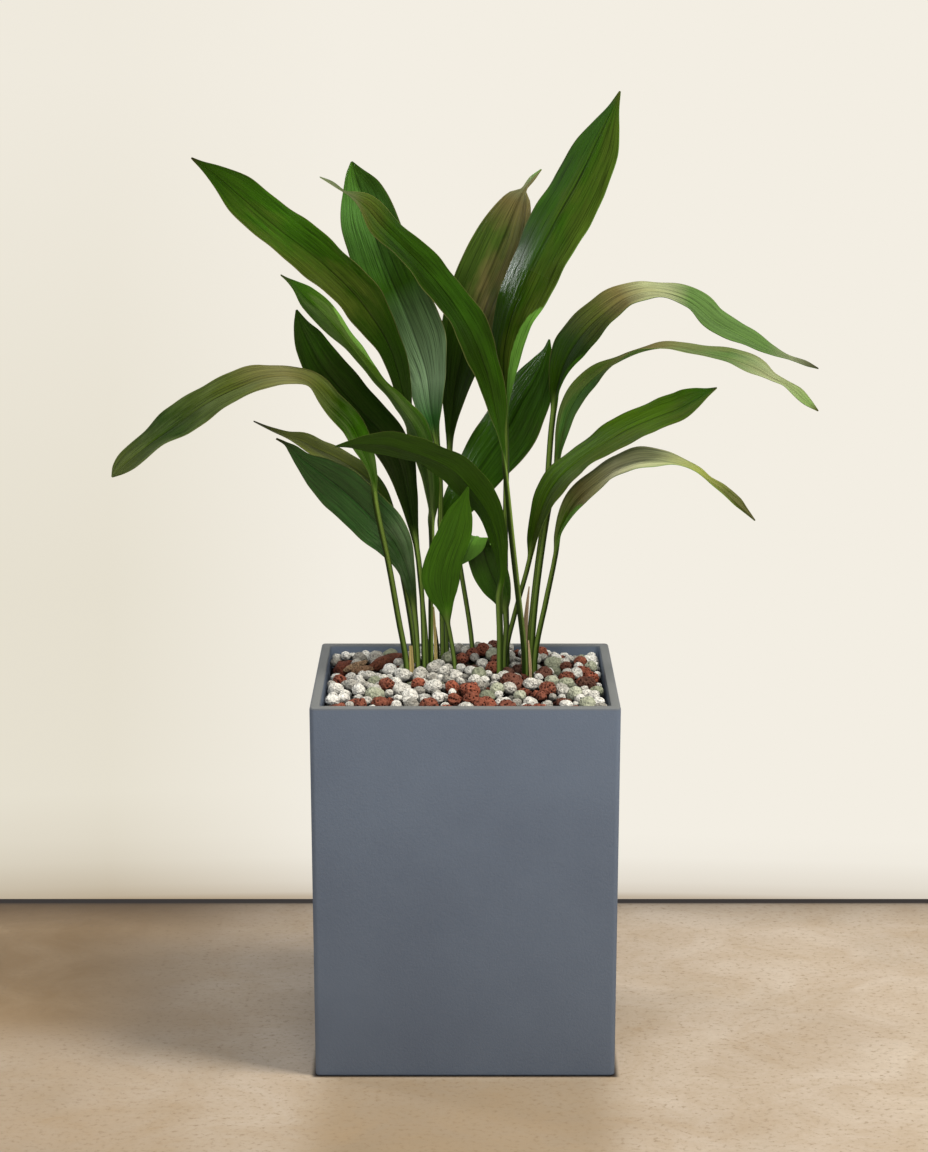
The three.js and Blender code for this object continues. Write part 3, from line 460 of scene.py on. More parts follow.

# %% [markdown]
# The leaves. Each leaf of this plant is one long stalk that opens into one long blade. Its shape is a
# curve in space with a width and a roll at each point, so each leaf is a short table of rows: x, y and z
# of the midrib in millimetres, the roll in degrees and the full width. The places were read off the photo
# and turned into millimetres with the camera's formula, and the depths were chosen. The same rows are in
# the CAD part. "foot" is the row where the stalk ends, "ripple" the height of the waves along the edge,
# "phase" where they start, and "fold" or "blade_fold" how far the blade is folded, in degrees.

# %% The rows of every leaf
LEAVES = {
  "leaf_high_left": {
    "foot": 3, "ripple": 2.5, "phase": 0.4,
    "rows": [
      [-37, 70, 334, 10, 5], [-39, 70, 376, 10, 5], [-49, 71, 491, 15, 5], [-55, 69, 599, 20, 6],
      [-62, 66, 643, 30, 18], [-77, 60, 697, 30, 34], [-104, 52, 741, 30, 50], [-144, 41, 783, 30, 54],
      [-183, 29, 815, 30, 53], [-221, 16, 849, 30, 46], [-245, 6, 871, 30, 23], [-259, 0, 882, 30, 8],
      [-267, -3, 888, 30, 2],
    ],
  },
  "leaf_back_left": {
    "foot": 3, "ripple": 2.5, "phase": 1.3,
    "rows": [
      [-23, 78, 334, -10, 5.5], [-23, 78, 375, -10, 5.5], [-25, 79, 474, -10, 5.5], [-28, 83, 590, -20, 6],
      [-35, 90, 632, -25, 34], [-39, 96, 663, -25, 50], [-51, 104, 701, -22, 70],
      [-82, 124, 773, -18, 68], [-96, 135, 812, -18, 64], [-105, 145, 843, -15, 46],
      [-113, 152, 863, -15, 20], [-116, 156, 874, -15, 2],
    ],
  },
  "leaf_crossing": {
    "foot": 4, "ripple": 2, "phase": 2.2,
    "rows": [
      [61, 30, 334, 60, 6], [60, 28, 386, 60, 6], [54, 26, 443, 60, 6], [47, 22, 505, 58, 6],
      [40, 16, 575, 55, 5], [35, 12, 611, 50, 12], [29, 8, 645, 45, 31], [19, 2, 684, 45, 44],
      [5, -6, 719, 45, 50], [-17, -14, 754, 45, 50], [-41, -24, 784, 45, 46], [-63, -34, 807, 45, 42],
      [-82, -43, 827, 45, 42], [-96, -50, 844, 50, 34], [-108, -56, 854, 60, 18], [-116, -59, 859, 60, 6],
      [-127, -63, 867, 60, 9], [-139, -68, 874, 60, 2],
    ],
  },
  "leaf_back_centre": {
    "foot": 3, "ripple": 2, "phase": 0.9,
    "rows": [
      [9, 96, 334, -10, 5], [8, 96, 371, -10, 5], [-8, 116, 483, -12, 5], [-16, 124, 575, -20, 6],
      [-14, 125, 607, -20, 14], [-9, 127, 650, -20, 36], [2, 130, 699, -18, 58], [13, 133, 735, -18, 66],
      [26, 137, 765, -18, 66], [38, 141, 794, -18, 62], [49, 145, 822, -18, 44], [56, 148, 838, -18, 26],
      [61, 150, 847, -20, 5], [68, 152, 856, -25, 7], [78, 156, 866, -40, 2],
    ],
  },
  "leaf_tallest": {
    "foot": 3, "ripple": 2.5, "phase": 3.1, "blade_fold": -9,
    "rows": [
      [43, 68, 334, -20, 5.5], [43, 68, 377, -20, 5.5], [41, 68, 476, -20, 5.5], [41, 70, 615, -20, 6],
      [39, 72, 652, -25, 22], [39, 75, 688, -28, 38], [45, 78, 718, -28, 46], [59, 83, 754, -27, 56],
      [88, 92, 813, -25, 64], [112, 100, 855, -25, 62], [130, 107, 891, -25, 51], [141, 111, 914, -25, 31],
      [150, 115, 933, -25, 12], [156, 118, 947, -25, 2],
    ],
  },
  "leaf_slim_left": {
    "foot": 3, "ripple": 1.5, "phase": 4,
    "rows": [
      [-35, 62, 334, 40, 5], [-35, 62, 378, 40, 5], [-35, 60, 436, 45, 5], [-34, 52, 510, 50, 6],
      [-36, 49, 541, 55, 24], [-39, 46, 572, 58, 38], [-50, 40, 614, 58, 42], [-69, 34, 643, 65, 38],
      [-90, 27, 669, 74, 36], [-111, 20, 697, 64, 36], [-140, 10, 733, 50, 40], [-156, 4, 749, 50, 34],
      [-169, -1, 764, 50, 13], [-176, -3, 770, 50, 5], [-181, -5, 774, 50, 2],
    ],
  },
  "leaf_dark_left": {
    "foot": 2, "ripple": 2, "phase": 5,
    "rows": [
      [-42, 50, 334, 10, 5], [-42, 50, 378, 10, 5], [-49, 50, 492, 10, 6], [-54, 49, 519, 20, 14],
      [-59, 48, 549, 20, 24], [-67, 45, 582, 22, 35], [-83, 42, 609, 25, 43], [-104, 38, 633, 25, 47],
      [-125, 34, 657, 25, 47], [-143, 30, 680, 25, 45], [-155, 26, 703, 25, 36], [-163, 22, 722, 20, 17],
      [-167, 20, 737, 20, 2],
    ],
  },
  "leaf_droop_left": {
    "foot": 4, "ripple": 2, "phase": 0,
    "rows": [
      [-58, 32, 334, 20, 6], [-60, 31, 380, 20, 6], [-67, 25, 422, 20, 6], [-77, 10, 485, 22, 6],
      [-89, -6, 548, 28, 6], [-93, -11, 577, 45, 13], [-104, -17, 607, 50, 34], [-115, -22, 630, 56, 44],
      [-130, -28, 646, 62, 48], [-158, -38, 675, 66, 50], [-194, -50, 678, 62, 54], [-220, -60, 670, 54, 56],
      [-250, -71, 656, 50, 56], [-276, -81, 638, 50, 56], [-300, -90, 622, 56, 48], [-322, -97, 605, 50, 38],
      [-334, -101, 595, 45, 20], [-340, -103, 589, 45, 2],
    ],
  },
  "leaf_olive_left": {
    "foot": 3, "ripple": 1.5, "phase": 1,
    "rows": [
      [-52, 62, 334, 30, 5], [-52, 62, 378, 30, 5], [-62, 62, 451, 35, 5], [-72, 61, 500, 40, 5],
      [-78, 60, 533, 50, 15], [-90, 58, 553, 55, 26], [-108, 55, 569, 58, 34], [-132, 51, 585, 56, 38],
      [-148, 48, 593, 56, 35], [-164, 45, 602, 55, 25], [-180, 43, 608, 55, 12], [-196, 40, 615, 55, 7],
      [-212, 38, 623, 55, 2],
    ],
  },
  "leaf_glossy_left": {
    "foot": 2, "ripple": 2, "phase": 2,
    "rows": [
      [-48, 38, 334, 0, 5.5], [-48, 38, 383, 0, 5.5], [-51, 38, 426, -10, 6], [-54, 35, 451, -20, 13],
      [-60, 31, 477, -20, 22], [-72, 26, 503, -20, 40], [-92, 20, 527, -20, 52], [-121, 12, 557, -20, 50],
      [-144, 5, 576, -20, 38], [-160, 1, 589, -20, 21], [-172, -2, 602, -20, 10], [-178, -4, 607, -20, 4],
      [-187, -6, 612, -20, 2],
    ],
  },
  "leaf_front_arch": {
    "foot": 3, "ripple": 1.5, "phase": 3,
    "rows": [
      [35, 14, 334, 150, 6.5], [35, 14, 369, 150, 6.5], [35, 10, 415, 150, 6.5], [34, 5, 447, 145, 7],
      [35, -1, 484, 140, 14], [32, -6, 510, 135, 26], [23, -14, 538, 132, 38], [6, -24, 564, 130, 48],
      [-13, -34, 586, 128, 50], [-36, -44, 599, 118, 50], [-59, -53, 608, 117, 50], [-78, -60, 614, 117, 48],
      [-96, -67, 616, 117, 33], [-112, -72, 616, 117, 15], [-126, -77, 615, 117, 2],
    ],
  },
  "leaf_front_small": {
    "foot": 2, "ripple": 1.5, "phase": 4,
    "rows": [
      [-10, 38, 334, 180, 5], [-11, 37, 378, 180, 5], [-17, 27, 416, 175, 5], [-20, 20, 434, 172, 17],
      [-24, 12, 452, 170, 33], [-25, 3, 470, 170, 40], [-20, -9, 494, 168, 38], [-11, -20, 519, 165, 36],
      [-5, -29, 540, 162, 27], [-1, -35, 555, 160, 12], [3, -40, 569, 160, 2],
    ],
  },
  "leaf_curled": {
    "foot": 2, "ripple": 1, "phase": 5,
    "rows": [
      [40, 40, 334, -10, 5], [40, 40, 383, -10, 5], [41, 41, 425, -10, 5.5], [38, 41, 440, -10, 19],
      [31, 38, 457, -5, 32], [24, 35, 474, 0, 37], [19, 32, 491, -10, 36], [16, 27, 504, -50, 34],
      [11, 18, 509, -110, 32], [6, 11, 503, -155, 29], [1, 8, 493, -170, 18], [-4, 7, 483, -175, 2],
    ],
  },
  "leaf_back_right": {
    "foot": 3, "ripple": 2.5, "phase": 0.5, "blade_fold": -9,
    "rows": [
      [-19, 92, 334, -10, 5.5], [-19, 92, 372, -10, 5.5], [-21, 93, 429, -10, 5.5], [-23, 94, 484, -10, 6],
      [-19, 95, 511, -12, 20], [-6, 96, 533, -14, 36], [8, 98, 556, -15, 48], [23, 101, 578, -15, 57],
      [42, 104, 604, -15, 61], [57, 107, 631, -15, 57], [70, 110, 653, -15, 45], [80, 113, 674, -15, 24],
      [84, 115, 686, -15, 9], [86, 117, 696, -15, 2],
    ],
  },
  "leaf_upper_arch": {
    "foot": 4, "ripple": 2, "phase": 1.5,
    "rows": [
      [65, 62, 334, -15, 6], [65, 62, 378, -15, 6], [71, 63, 446, -15, 6], [82, 65, 538, -15, 6],
      [89, 67, 626, -25, 6], [93, 68, 653, -40, 18], [101, 69, 678, -48, 40], [111, 70, 696, -50, 56],
      [126, 71, 715, -50, 60], [143, 72, 730, -56, 60], [164, 73, 744, -65, 58], [186, 74, 749, -67, 58],
      [223, 76, 740, -62, 60], [254, 78, 717, -60, 60], [286, 80, 700, -60, 50], [310, 82, 688, -62, 26],
      [329, 83, 681, -60, 9], [343, 84, 676, -50, 10], [358, 85, 670, -50, 2],
    ],
  },
  "leaf_middle_arch": {
    "foot": 3, "ripple": 1.5, "phase": 2.5,
    "rows": [
      [68, 46, 334, -30, 5.5], [68, 46, 382, -30, 5.5], [78, 48, 490, -30, 5.5], [91, 46, 570, -35, 5.5],
      [95, 44, 592, -38, 11], [99, 42, 612, -42, 20], [106, 40, 635, -50, 31], [117, 37, 654, -58, 38],
      [133, 33, 671, -68, 43], [152, 28, 684, -78, 45], [178, 22, 696, -84, 46], [203, 16, 700, -78, 46],
      [232, 9, 696, -70, 50], [267, 1, 689, -67, 52], [288, -5, 681, -62, 42], [303, -10, 673, -62, 24],
      [314, -13, 668, -60, 18], [325, -17, 660, -55, 23], [335, -20, 651, -50, 16], [347, -24, 642, -50, 2],
    ],
  },
  "leaf_lower_right": {
    "foot": 3, "ripple": 2, "phase": 3.5,
    "rows": [
      [41, 53, 334, -20, 5], [41, 53, 378, -20, 5], [52, 47, 430, -22, 5], [65, 36, 482, -30, 5],
      [69, 32, 505, -35, 15], [75, 28, 529, -42, 25], [83, 24, 550, -48, 35], [96, 18, 570, -50, 40],
      [114, 12, 587, -50, 42], [135, 4, 603, -50, 43], [163, -7, 622, -50, 46], [189, -17, 635, -50, 52],
      [211, -26, 645, -50, 46], [227, -32, 655, -50, 30], [238, -36, 662, -50, 12], [246, -39, 667, -50, 2],
    ],
  },
  "leaf_low_arch": {
    "foot": 3, "ripple": 1.5, "phase": 4.5,
    "rows": [
      [72, 36, 334, -25, 5.5], [71, 36, 379, -25, 5.5], [82, 30, 442, -28, 5.5], [91, 22, 490, -35, 5],
      [94, 19, 511, -40, 11], [101, 14, 530, -50, 22], [110, 7, 547, -56, 33], [128, -3, 566, -60, 43],
      [148, -12, 582, -61, 46], [170, -22, 592, -62, 46], [189, -30, 594, -65, 43], [210, -38, 592, -70, 38],
      [226, -44, 586, -71, 28], [239, -49, 577, -65, 15], [252, -54, 569, -55, 14], [265, -59, 558, -50, 16],
      [273, -62, 550, -50, 10], [283, -66, 540, -50, 2],
    ],
  },
}
SHEATHS = {
  "dry_stub": {
    "fold": 40, "rows": [[-54, 25, 334, 0, 5.6], [-54, 25, 372, 0, 5.8], [-55, 25, 396, 0, 4.4]],
  },
  "dry_sheath": {
    "fold": 40,
    "rows": [[-30, 57, 334, 0, 4], [-30, 57, 380, 0, 4], [-31, 56, 408, 0, 3.4], [-32, 55, 430, 0, 1.4]],
  },
  "young_shoot": {
    "fold": 45, "rows": [[-28, 70, 334, 0, 5], [-28, 70, 380, 0, 5], [-30, 70, 406, 0, 1.4]],
  },
  "pointed_sheath": {
    "fold": 40,
    "rows": [[60, 50, 334, 0, 6], [60, 50, 378, 0, 7.4], [62, 50, 420, 0, 5.6], [65, 50, 452, 0, 1.4]],
  },
  "pale_sheath": {
    "fold": 40, "rows": [[66, 22, 334, 0, 3.6], [66, 22, 372, 0, 3.6], [64, 22, 402, 0, 1.6]],
  },
}
print(len(LEAVES), "leaves and", len(SHEATHS), "small sheaths")

# %% [markdown]
# The midrib is a smooth curve through a leaf's rows. Between two rows each value follows a cubic that
# leaves one row and reaches the next at a set rate. The rate at a row is the mean of the slopes before and
# after it, weighted so that the nearer row counts more. The width takes a more careful mean, which never
# bulges past its rows.

# %% Follow a leaf's midrib
WIDTH_COLUMN = 4
FACING = np.array([0.0, -0.98, 0.2])
FACING /= np.linalg.norm(FACING)


def row_rates(rows, steps):
    slopes = np.diff(rows, axis=0) / steps[:, None]
    rates = np.empty_like(rows)
    rates[0], rates[-1] = slopes[0], slopes[-1]
    for i in range(1, len(rows) - 1):
        rates[i] = (slopes[i - 1] * steps[i] + slopes[i] * steps[i - 1]) / (steps[i - 1] + steps[i])
        before, after = slopes[i - 1, WIDTH_COLUMN], slopes[i, WIDTH_COLUMN]
        rates[i, WIDTH_COLUMN] = 0 if before * after <= 0 else 2 * before * after / (before + after)
    return rates


def row_starts(rows):
    """How far apart the rows are, and how far along the midrib each one lies, in millimetres."""
    steps = np.linalg.norm(np.diff(rows[:, :3], axis=0), axis=1)
    return steps, np.concatenate([[0], np.cumsum(steps)])


def follow_midrib(rows, stations):
    """The five values and the direction of the midrib at each station, a length along it in millimetres."""
    steps, starts = row_starts(rows)
    rates = row_rates(rows, steps)
    piece = np.clip(np.searchsorted(starts, stations, side="right") - 1, 0, len(steps) - 1)
    h = steps[piece][:, None]
    t = (stations - starts[piece])[:, None] / h
    a, b, ra, rb = rows[piece], rows[piece + 1], rates[piece], rates[piece + 1]
    values = (2*t**3 - 3*t**2 + 1) * a + (t**3 - 2*t**2 + t) * h * ra
    values = values + (3*t**2 - 2*t**3) * b + (t**3 - t**2) * h * rb
    along = (6*t**2 - 6*t) * (a - b) / h + (3*t**2 - 4*t + 1) * ra + (3*t**2 - 2*t) * rb
    along = along[:, :3]
    return values, along / np.linalg.norm(along, axis=1)[:, None]


def leaf_lengths(leaf):
    """The rows, and where the blade starts and the leaf ends along the midrib."""
    rows = np.array(leaf["rows"], float)
    starts = row_starts(rows)[1]
    return rows, starts[leaf.get("foot", 0)], starts[-1]


longest = max(LEAVES, key=lambda name: leaf_lengths(LEAVES[name])[2])
print("the longest leaf is", longest, round(leaf_lengths(LEAVES[longest])[2]), "mm with its stalk")

# %% [markdown]
# A leaf's skin. A grid of faces, like a sheet of paper, is rolled up round the midrib: half its columns
# lie on the leaf's back, half on its face, and the two long sides meet and are merged. Along the stalk the
# sheet stays a thin round rod, and beyond its foot it opens into the blade. A blade's section is a shallow
# V, deeper near the stalk, with edges that droop a little. Fine pleats run along it, as on the real plant,
# and the edges wave. No operator gives this double curve, so each point's place comes from a formula.

# %% Shape a leaf's skin
COLUMNS_PER_SIDE = 54
BLADE_STEP = 3.6
STALK_STEP = 14.0
BLADE_HALF_THICKNESS = 0.34
EDGE_THINNING = 0.45
THIN_BELOW_HALF_WIDTH = 1.2
THINNEST_SHARE = 0.4
BLADE_FOLD = 13.0
FOOT_FOLD = 50.0
FOOT_FOLD_SHARE = 0.3
BLADE_CURL = 0.1
MORPH_LENGTH = 26.0
RIPPLE_LENGTH = 86.0
SMALL_RIPPLE = 0.22
SMALL_RIPPLE_LENGTH = 33.0
SMALL_RIPPLE_PHASE = 1.7
PLEATS_PER_HALF = (4.3, 7.1)
PLEAT_DEPTHS = (0.09, 0.05)
FULL_PLEAT_HALF_WIDTH = 12
MIDRIB_GROOVE = 0.6
MIDRIB_WIDTH = 0.045
VALLEY_ROUND = 0.04
VALLEY_WIDTH = 0.06
STALK_SHEET_ANGLE = 70
STALK_GROOVE = 0.22
STALK_GROOVE_WIDTH = 0.28
TURNED_EDGES = {
    "leaf_tallest": (-0.1, 0.36, 0.6), "leaf_low_arch": (-0.2, 0.26, 0.8),
    "leaf_upper_arch": (0.02, 0.2, 0.4), "leaf_slim_left": (0.56, 0.8, 0.5),
}


def smooth_step(values):
    t = np.clip(values, 0, 1)
    return t * t * (3 - 2 * t)


def turned_edge(name, share, columns):
    """1 where the face shows the back's paler colour along a leaf's right margin, 0 elsewhere."""
    if name not in TURNED_EDGES:
        return np.zeros(np.broadcast_shapes(share.shape, columns.shape))
    first, last, reach = TURNED_EDGES[name]
    place = np.clip((share - first) / (last - first), 0, 1)
    return (-columns > 1 - reach * np.sqrt(np.sin(np.pi * place))).astype(float)


def blade_relief(leaf, share, length, half, columns):
    """How far the waves, the pleats and the groove over the midrib lift a blade's skin, in millimetres."""
    belly = np.sin(np.pi * share)
    open_share = np.sqrt(np.clip(belly, 0, 1)) * np.clip(half / FULL_PLEAT_HALF_WIDTH, 0, 1)
    phase = leaf.get("phase", 0) + np.where(columns > 0, 0, 2)
    large_wave = np.sin(2 * np.pi * length / RIPPLE_LENGTH + phase)
    small_wave = np.sin(2 * np.pi * length / SMALL_RIPPLE_LENGTH + SMALL_RIPPLE_PHASE * phase)
    wave = large_wave + SMALL_RIPPLE * small_wave * np.abs(columns)
    relief = leaf.get("ripple", 0) * belly * columns**2 * wave
    for count, depth in zip(PLEATS_PER_HALF, PLEAT_DEPTHS):
        pleat = depth * np.cos(2 * np.pi * count * np.abs(columns) + count * phase)
        relief = relief + pleat * open_share * (1 - columns**6)
    return relief - MIDRIB_GROOVE * open_share * np.exp(-((columns / MIDRIB_WIDTH) ** 2))


def leaf_points(name, leaf):
    """Rings of points round the leaf, with the values that its finish reads."""
    rows, blade_start, end = leaf_lengths(leaf)
    stalk = np.linspace(0, blade_start, max(2, round(blade_start / STALK_STEP)), endpoint=False)
    blade = np.linspace(blade_start, end, round((end - blade_start) / BLADE_STEP) + 2)
    stations = np.concatenate([stalk, blade]) if blade_start > 0 else blade
    values, along = follow_midrib(rows, stations)
    length = stations[:, None]
    share = np.clip((length - blade_start) / (end - blade_start), 0, 1)
    roll = np.radians(values[:, 3])[:, None]
    half = values[:, WIDTH_COLUMN][:, None] / 2
    columns = np.linspace(-1, 1, COLUMNS_PER_SIDE + 1)[None]

    facing = FACING - (along @ FACING)[:, None] * along
    facing /= np.linalg.norm(facing, axis=1)[:, None]
    up = np.cos(roll) * facing + np.sin(roll) * np.cross(along, facing)
    side = np.cross(up, along)

    opened = smooth_step((length - blade_start) / MORPH_LENGTH) if "foot" in leaf else np.ones_like(share)
    flat = leaf.get("fold", leaf.get("blade_fold", BLADE_FOLD))
    foot_fold = leaf.get("fold", FOOT_FOLD)
    fold = np.radians(flat + (foot_fold - flat) * np.maximum(0, 1 - share / FOOT_FOLD_SHARE) ** 2)
    valley = np.sqrt(columns**2 + VALLEY_ROUND**2) - VALLEY_ROUND
    lean = np.tanh(columns / VALLEY_WIDTH) * fold
    thick = BLADE_HALF_THICKNESS * (1 - EDGE_THINNING * columns**4)
    thick = thick * np.clip(half / THIN_BELOW_HALF_WIDTH, THINNEST_SHARE, 1)
    sheet_rise = half * (valley * np.sin(fold) - BLADE_CURL * columns**2)
    sheet_rise = sheet_rise + blade_relief(leaf, share, length, half, columns)

    sheets = []
    for top in (-1, 1):
        angle = np.radians(90 - STALK_SHEET_ANGLE * columns) * top
        bore = 1 - STALK_GROOVE * np.exp(-((columns / STALK_GROOVE_WIDTH) ** 2)) * (top > 0)
        across = half * columns * np.cos(fold) - top * thick * np.sin(lean)
        rise = sheet_rise + top * thick * np.cos(lean)
        across = (1 - opened) * half * np.cos(angle) + opened * across
        rise = (1 - opened) * half * np.sin(angle) * bore + opened * rise
        points = values[:, None, :3] + across[..., None] * side[:, None] + rise[..., None] * up[:, None]
        back = 1.0 if top < 0 else turned_edge(name, share, columns)
        marks = (columns, length, share, opened * (share > 0), back)
        sheet = np.dstack([points, *(np.broadcast_to(mark, across.shape) for mark in marks)])
        sheets.append(sheet if top < 0 else sheet[:, ::-1])
    return np.concatenate(sheets, axis=1)


sample = leaf_points(longest, LEAVES[longest])
print("the skin of", longest, "has", sample.shape[0], "rings of", sample.shape[1], "points")

# %% [markdown]
# The grid is an operator's. Its points are moved to their places, the ends are closed and the seam is
# merged in edit mode. Five values stay on the points for the finish: how far across the blade, how far
# along the leaf in millimetres and as a share of the blade, how far the blade has opened, and whether the
# point is on the back.

# %% Make the leaves
SEAM_GAP = 1e-6
SMOOTH_BELOW = math.radians(70)


def mark_points(piece, mark, values):
    attribute = piece.data.attributes.new(mark, "FLOAT", "POINT")
    values = np.broadcast_to(values, len(piece.data.vertices))
    attribute.data.foreach_set("value", values.astype(np.float32))


def add_leaf(name, leaf):
    sheet = leaf_points(name, leaf)
    rings, around = sheet.shape[:2]
    bpy.ops.object.select_all(action="DESELECT")
    bpy.ops.mesh.primitive_grid_add(x_subdivisions=around, y_subdivisions=rings - 1, size=1)
    piece = start_piece(name + "_grown")
    flat = np.empty(len(piece.data.vertices) * 3, np.float32)
    piece.data.vertices.foreach_get("co", flat)
    flat = flat.reshape(-1, 3)
    column = np.rint((flat[:, 0] + 0.5) * around).astype(int) % around
    ring = np.rint((flat[:, 1] + 0.5) * (rings - 1)).astype(int)
    placed = sheet[ring, column]
    piece.data.vertices.foreach_set("co", (placed[:, :3] * MM).astype(np.float32).ravel())
    for mark, values in zip(("across", "along", "share", "opened", "back"), placed[:, 3:].T):
        mark_points(piece, mark, values)
    piece.data.update()
    bpy.ops.object.mode_set(mode="EDIT")
    bpy.ops.mesh.select_all(action="SELECT")
    bpy.ops.mesh.remove_doubles(threshold=SEAM_GAP)
    bpy.ops.mesh.fill_holes(sides=0)
    bpy.ops.mesh.select_all(action="SELECT")
    bpy.ops.mesh.normals_make_consistent(inside=False)
    bpy.ops.object.mode_set(mode="OBJECT")
    bpy.ops.object.shade_smooth_by_angle(angle=SMOOTH_BELOW)
    return piece


leaf_pieces = {name: add_leaf(name, leaf) for name, leaf in LEAVES.items()}
sheath_pieces = {name: add_leaf(name, leaf) for name, leaf in SHEATHS.items()}
print("leaf faces:", sum(len(piece.data.polygons) for piece in leaf_pieces.values()))

# %% [markdown]
# A leaf's finish. Fine veins run along the blade, so the pattern reads how far across a point lies,
# stretched along the leaf, and not the object's own axes. The tones go from the blade's foot to its tip.
# Over them lie a patch of another colour, broad bands, fine veins, a dark line over the midrib and a thin
# brown edge. The back is paler. The stalk is a fresher green, with painted shading for its round form:
# lighter along its middle, darker at its sides. Each leaf differs a little, so its look is a row of a few
# colours. Some blades get duller toward their tip.

# %% Write the finish of a leaf
BAND_STOPS = [(0.32, 0.78), (0.5, 0.95), (0.64, 1.04)]
VEIN_STOPS = [(0.34, 0.46), (0.47, 0.92), (0.64, 1.16)]
RIB_STOPS = [(0.012, 0.5), (0.045, 1.0)]
EDGE_STOPS = [(0.965, 0.0), (0.99, 0.5)]
KEEL_STOPS = [(0.01, 0.5), (0.05, 0.0)]
TIP_STOPS = [(0.42, 0.0), (0.62, 1.0)]
PATCH_STOPS = (0.4, 0.72)
PATCH_FADE = 0.12
STALK_STOPS = (0.15, 0.75)
ALONG_VEINS = 0.0006
ALONG_PATCHES = 0.012
BAND_SCALE = 5.0
VEIN_SCALE = 32.0
PATCH_SCALE = 1.5
PATCH_SEED_SHIFT = 5
NOISE_ROUGHNESS = 0.6
KEEL_SHADE = 0.5
VEIN_STRENGTH = 0.7
VEIN_DEPTH = 0.0006
BACK_ROUGHNESS = 0.2
STALK_LIT_MIDDLE = screen_colour(112, 136, 60)
STALK_SHADED_SIDES = screen_colour(38, 56, 12)
EDGE_BROWN = screen_colour(110, 100, 62)


def attribute_value(material, name):
    return add_node(material, "ShaderNodeAttribute", attribute_name=name).outputs["Fac"]


def shade(colour, factor):
    return tuple(factor * value for value in colour[:3]) + (1.0,)


def look(tones, back, patch, patch_side, patch_share, gloss, **others):
    """Tones from foot to tip, the back's colour, the patch's colour, side and share, and the roughness."""
    return {
        "tones": tones, "back": back, "patch": patch, "patch_side": patch_side, "patch_share": patch_share,
        "gloss": gloss, "patch_span": (-1, 2), "stalk": (STALK_LIT_MIDDLE, STALK_SHADED_SIDES), "vein_share": 1.0,
        "dull_tip": 0.0, "shine": 0.38, **others,
    }


def leaf_noise(material, across, along, stretch, seed, scale, detail):
    """A noise that reads across and along the leaf, where a small stretch makes long streaks."""
    place = add_node(material, "ShaderNodeCombineXYZ", {
        "X": across, "Y": product(material, along, stretch), "Z": seed,
    }).outputs["Vector"]
    inputs = {"Vector": place, "Scale": scale, "Detail": detail, "Roughness": NOISE_ROUGHNESS}
    return add_node(material, "ShaderNodeTexNoise", inputs).outputs["Fac"]


def patch_of(material, look, share, across, patches):
    """Where a leaf's patch shows: within its span along the blade, and more on one side."""
    field = calculate(material, "ADD", patches, product(material, across, look["patch_side"]))
    patch_share = grey_ramp(material, field, list(zip(PATCH_STOPS, (0.0, look["patch_share"]))))
    first, last = look["patch_span"]
    span = grey_ramp(material, share, [
        (max(first, 0), float(first < 0)), (max(first + PATCH_FADE, 0), 1.0),
        (min(last - PATCH_FADE, 1), 1.0), (min(last, 1), float(last > 1)),
    ])
    return product(material, patch_share, span)


def leaf_finish(name, look, seed):
    material = new_material(name)
    marks = ("across", "along", "share", "opened", "back")
    across, along, share, opened, is_back = (attribute_value(material, mark) for mark in marks)
    middle = calculate(material, "ABSOLUTE", across)
    bands = leaf_noise(material, across, along, ALONG_VEINS, seed, BAND_SCALE, 2.0)
    veins = leaf_noise(material, across, along, ALONG_VEINS, seed, VEIN_SCALE, 2.0)
    patches = leaf_noise(material, across, along, ALONG_PATCHES, seed + PATCH_SEED_SHIFT, PATCH_SCALE, 3.0)
    vein_shade = grey_ramp(material, veins, VEIN_STOPS)

    colour = colour_ramp(material, share, look["tones"])
    colour = mix_colours(material, patch_of(material, look, share, across, patches), colour, look["patch"])
    colour = mix_colours(material, 1.0, colour, grey_ramp(material, bands, BAND_STOPS), "MULTIPLY")
    colour = mix_colours(material, look["vein_share"], colour, vein_shade, "MULTIPLY")
    colour = mix_colours(material, 1.0, colour, grey_ramp(material, middle, RIB_STOPS), "MULTIPLY")
    colour = mix_colours(material, grey_ramp(material, middle, EDGE_STOPS), colour, EDGE_BROWN)
    back = mix_colours(material, look["vein_share"], look["back"], vein_shade, "MULTIPLY")
    keel = shade(look["back"], KEEL_SHADE)
    back = mix_colours(material, grey_ramp(material, middle, KEEL_STOPS), back, keel)
    colour = mix_colours(material, is_back, colour, back)
    # Painted shading for the round stalk: lighter along its middle, darker at its sides.
    stalk = colour_ramp(material, middle, list(zip(STALK_STOPS, look["stalk"])))
    colour = mix_colours(material, opened, stalk, colour)

    roughness = calculate(material, "MULTIPLY_ADD", is_back, BACK_ROUGHNESS, look["gloss"])
    dull_tip = product(material, grey_ramp(material, share, TIP_STOPS), look["dull_tip"])
    roughness = calculate(material, "ADD", roughness, dull_tip)
    normal = bump(material, product(material, veins, opened), VEIN_STRENGTH, VEIN_DEPTH)
    set_surface(material, colour, roughness, look["shine"], normal)
    return material


print("leaf finish ready")

# %% [markdown]
# The looks. The colours were matched to the photo, from the blade's foot to its tip, so they hold painted
# light: painted shade where a leaf or a part of it lies in shadow, and a painted pale sheen on the crest of
# arching leaves, where they catch the sky. Several tips are dry.

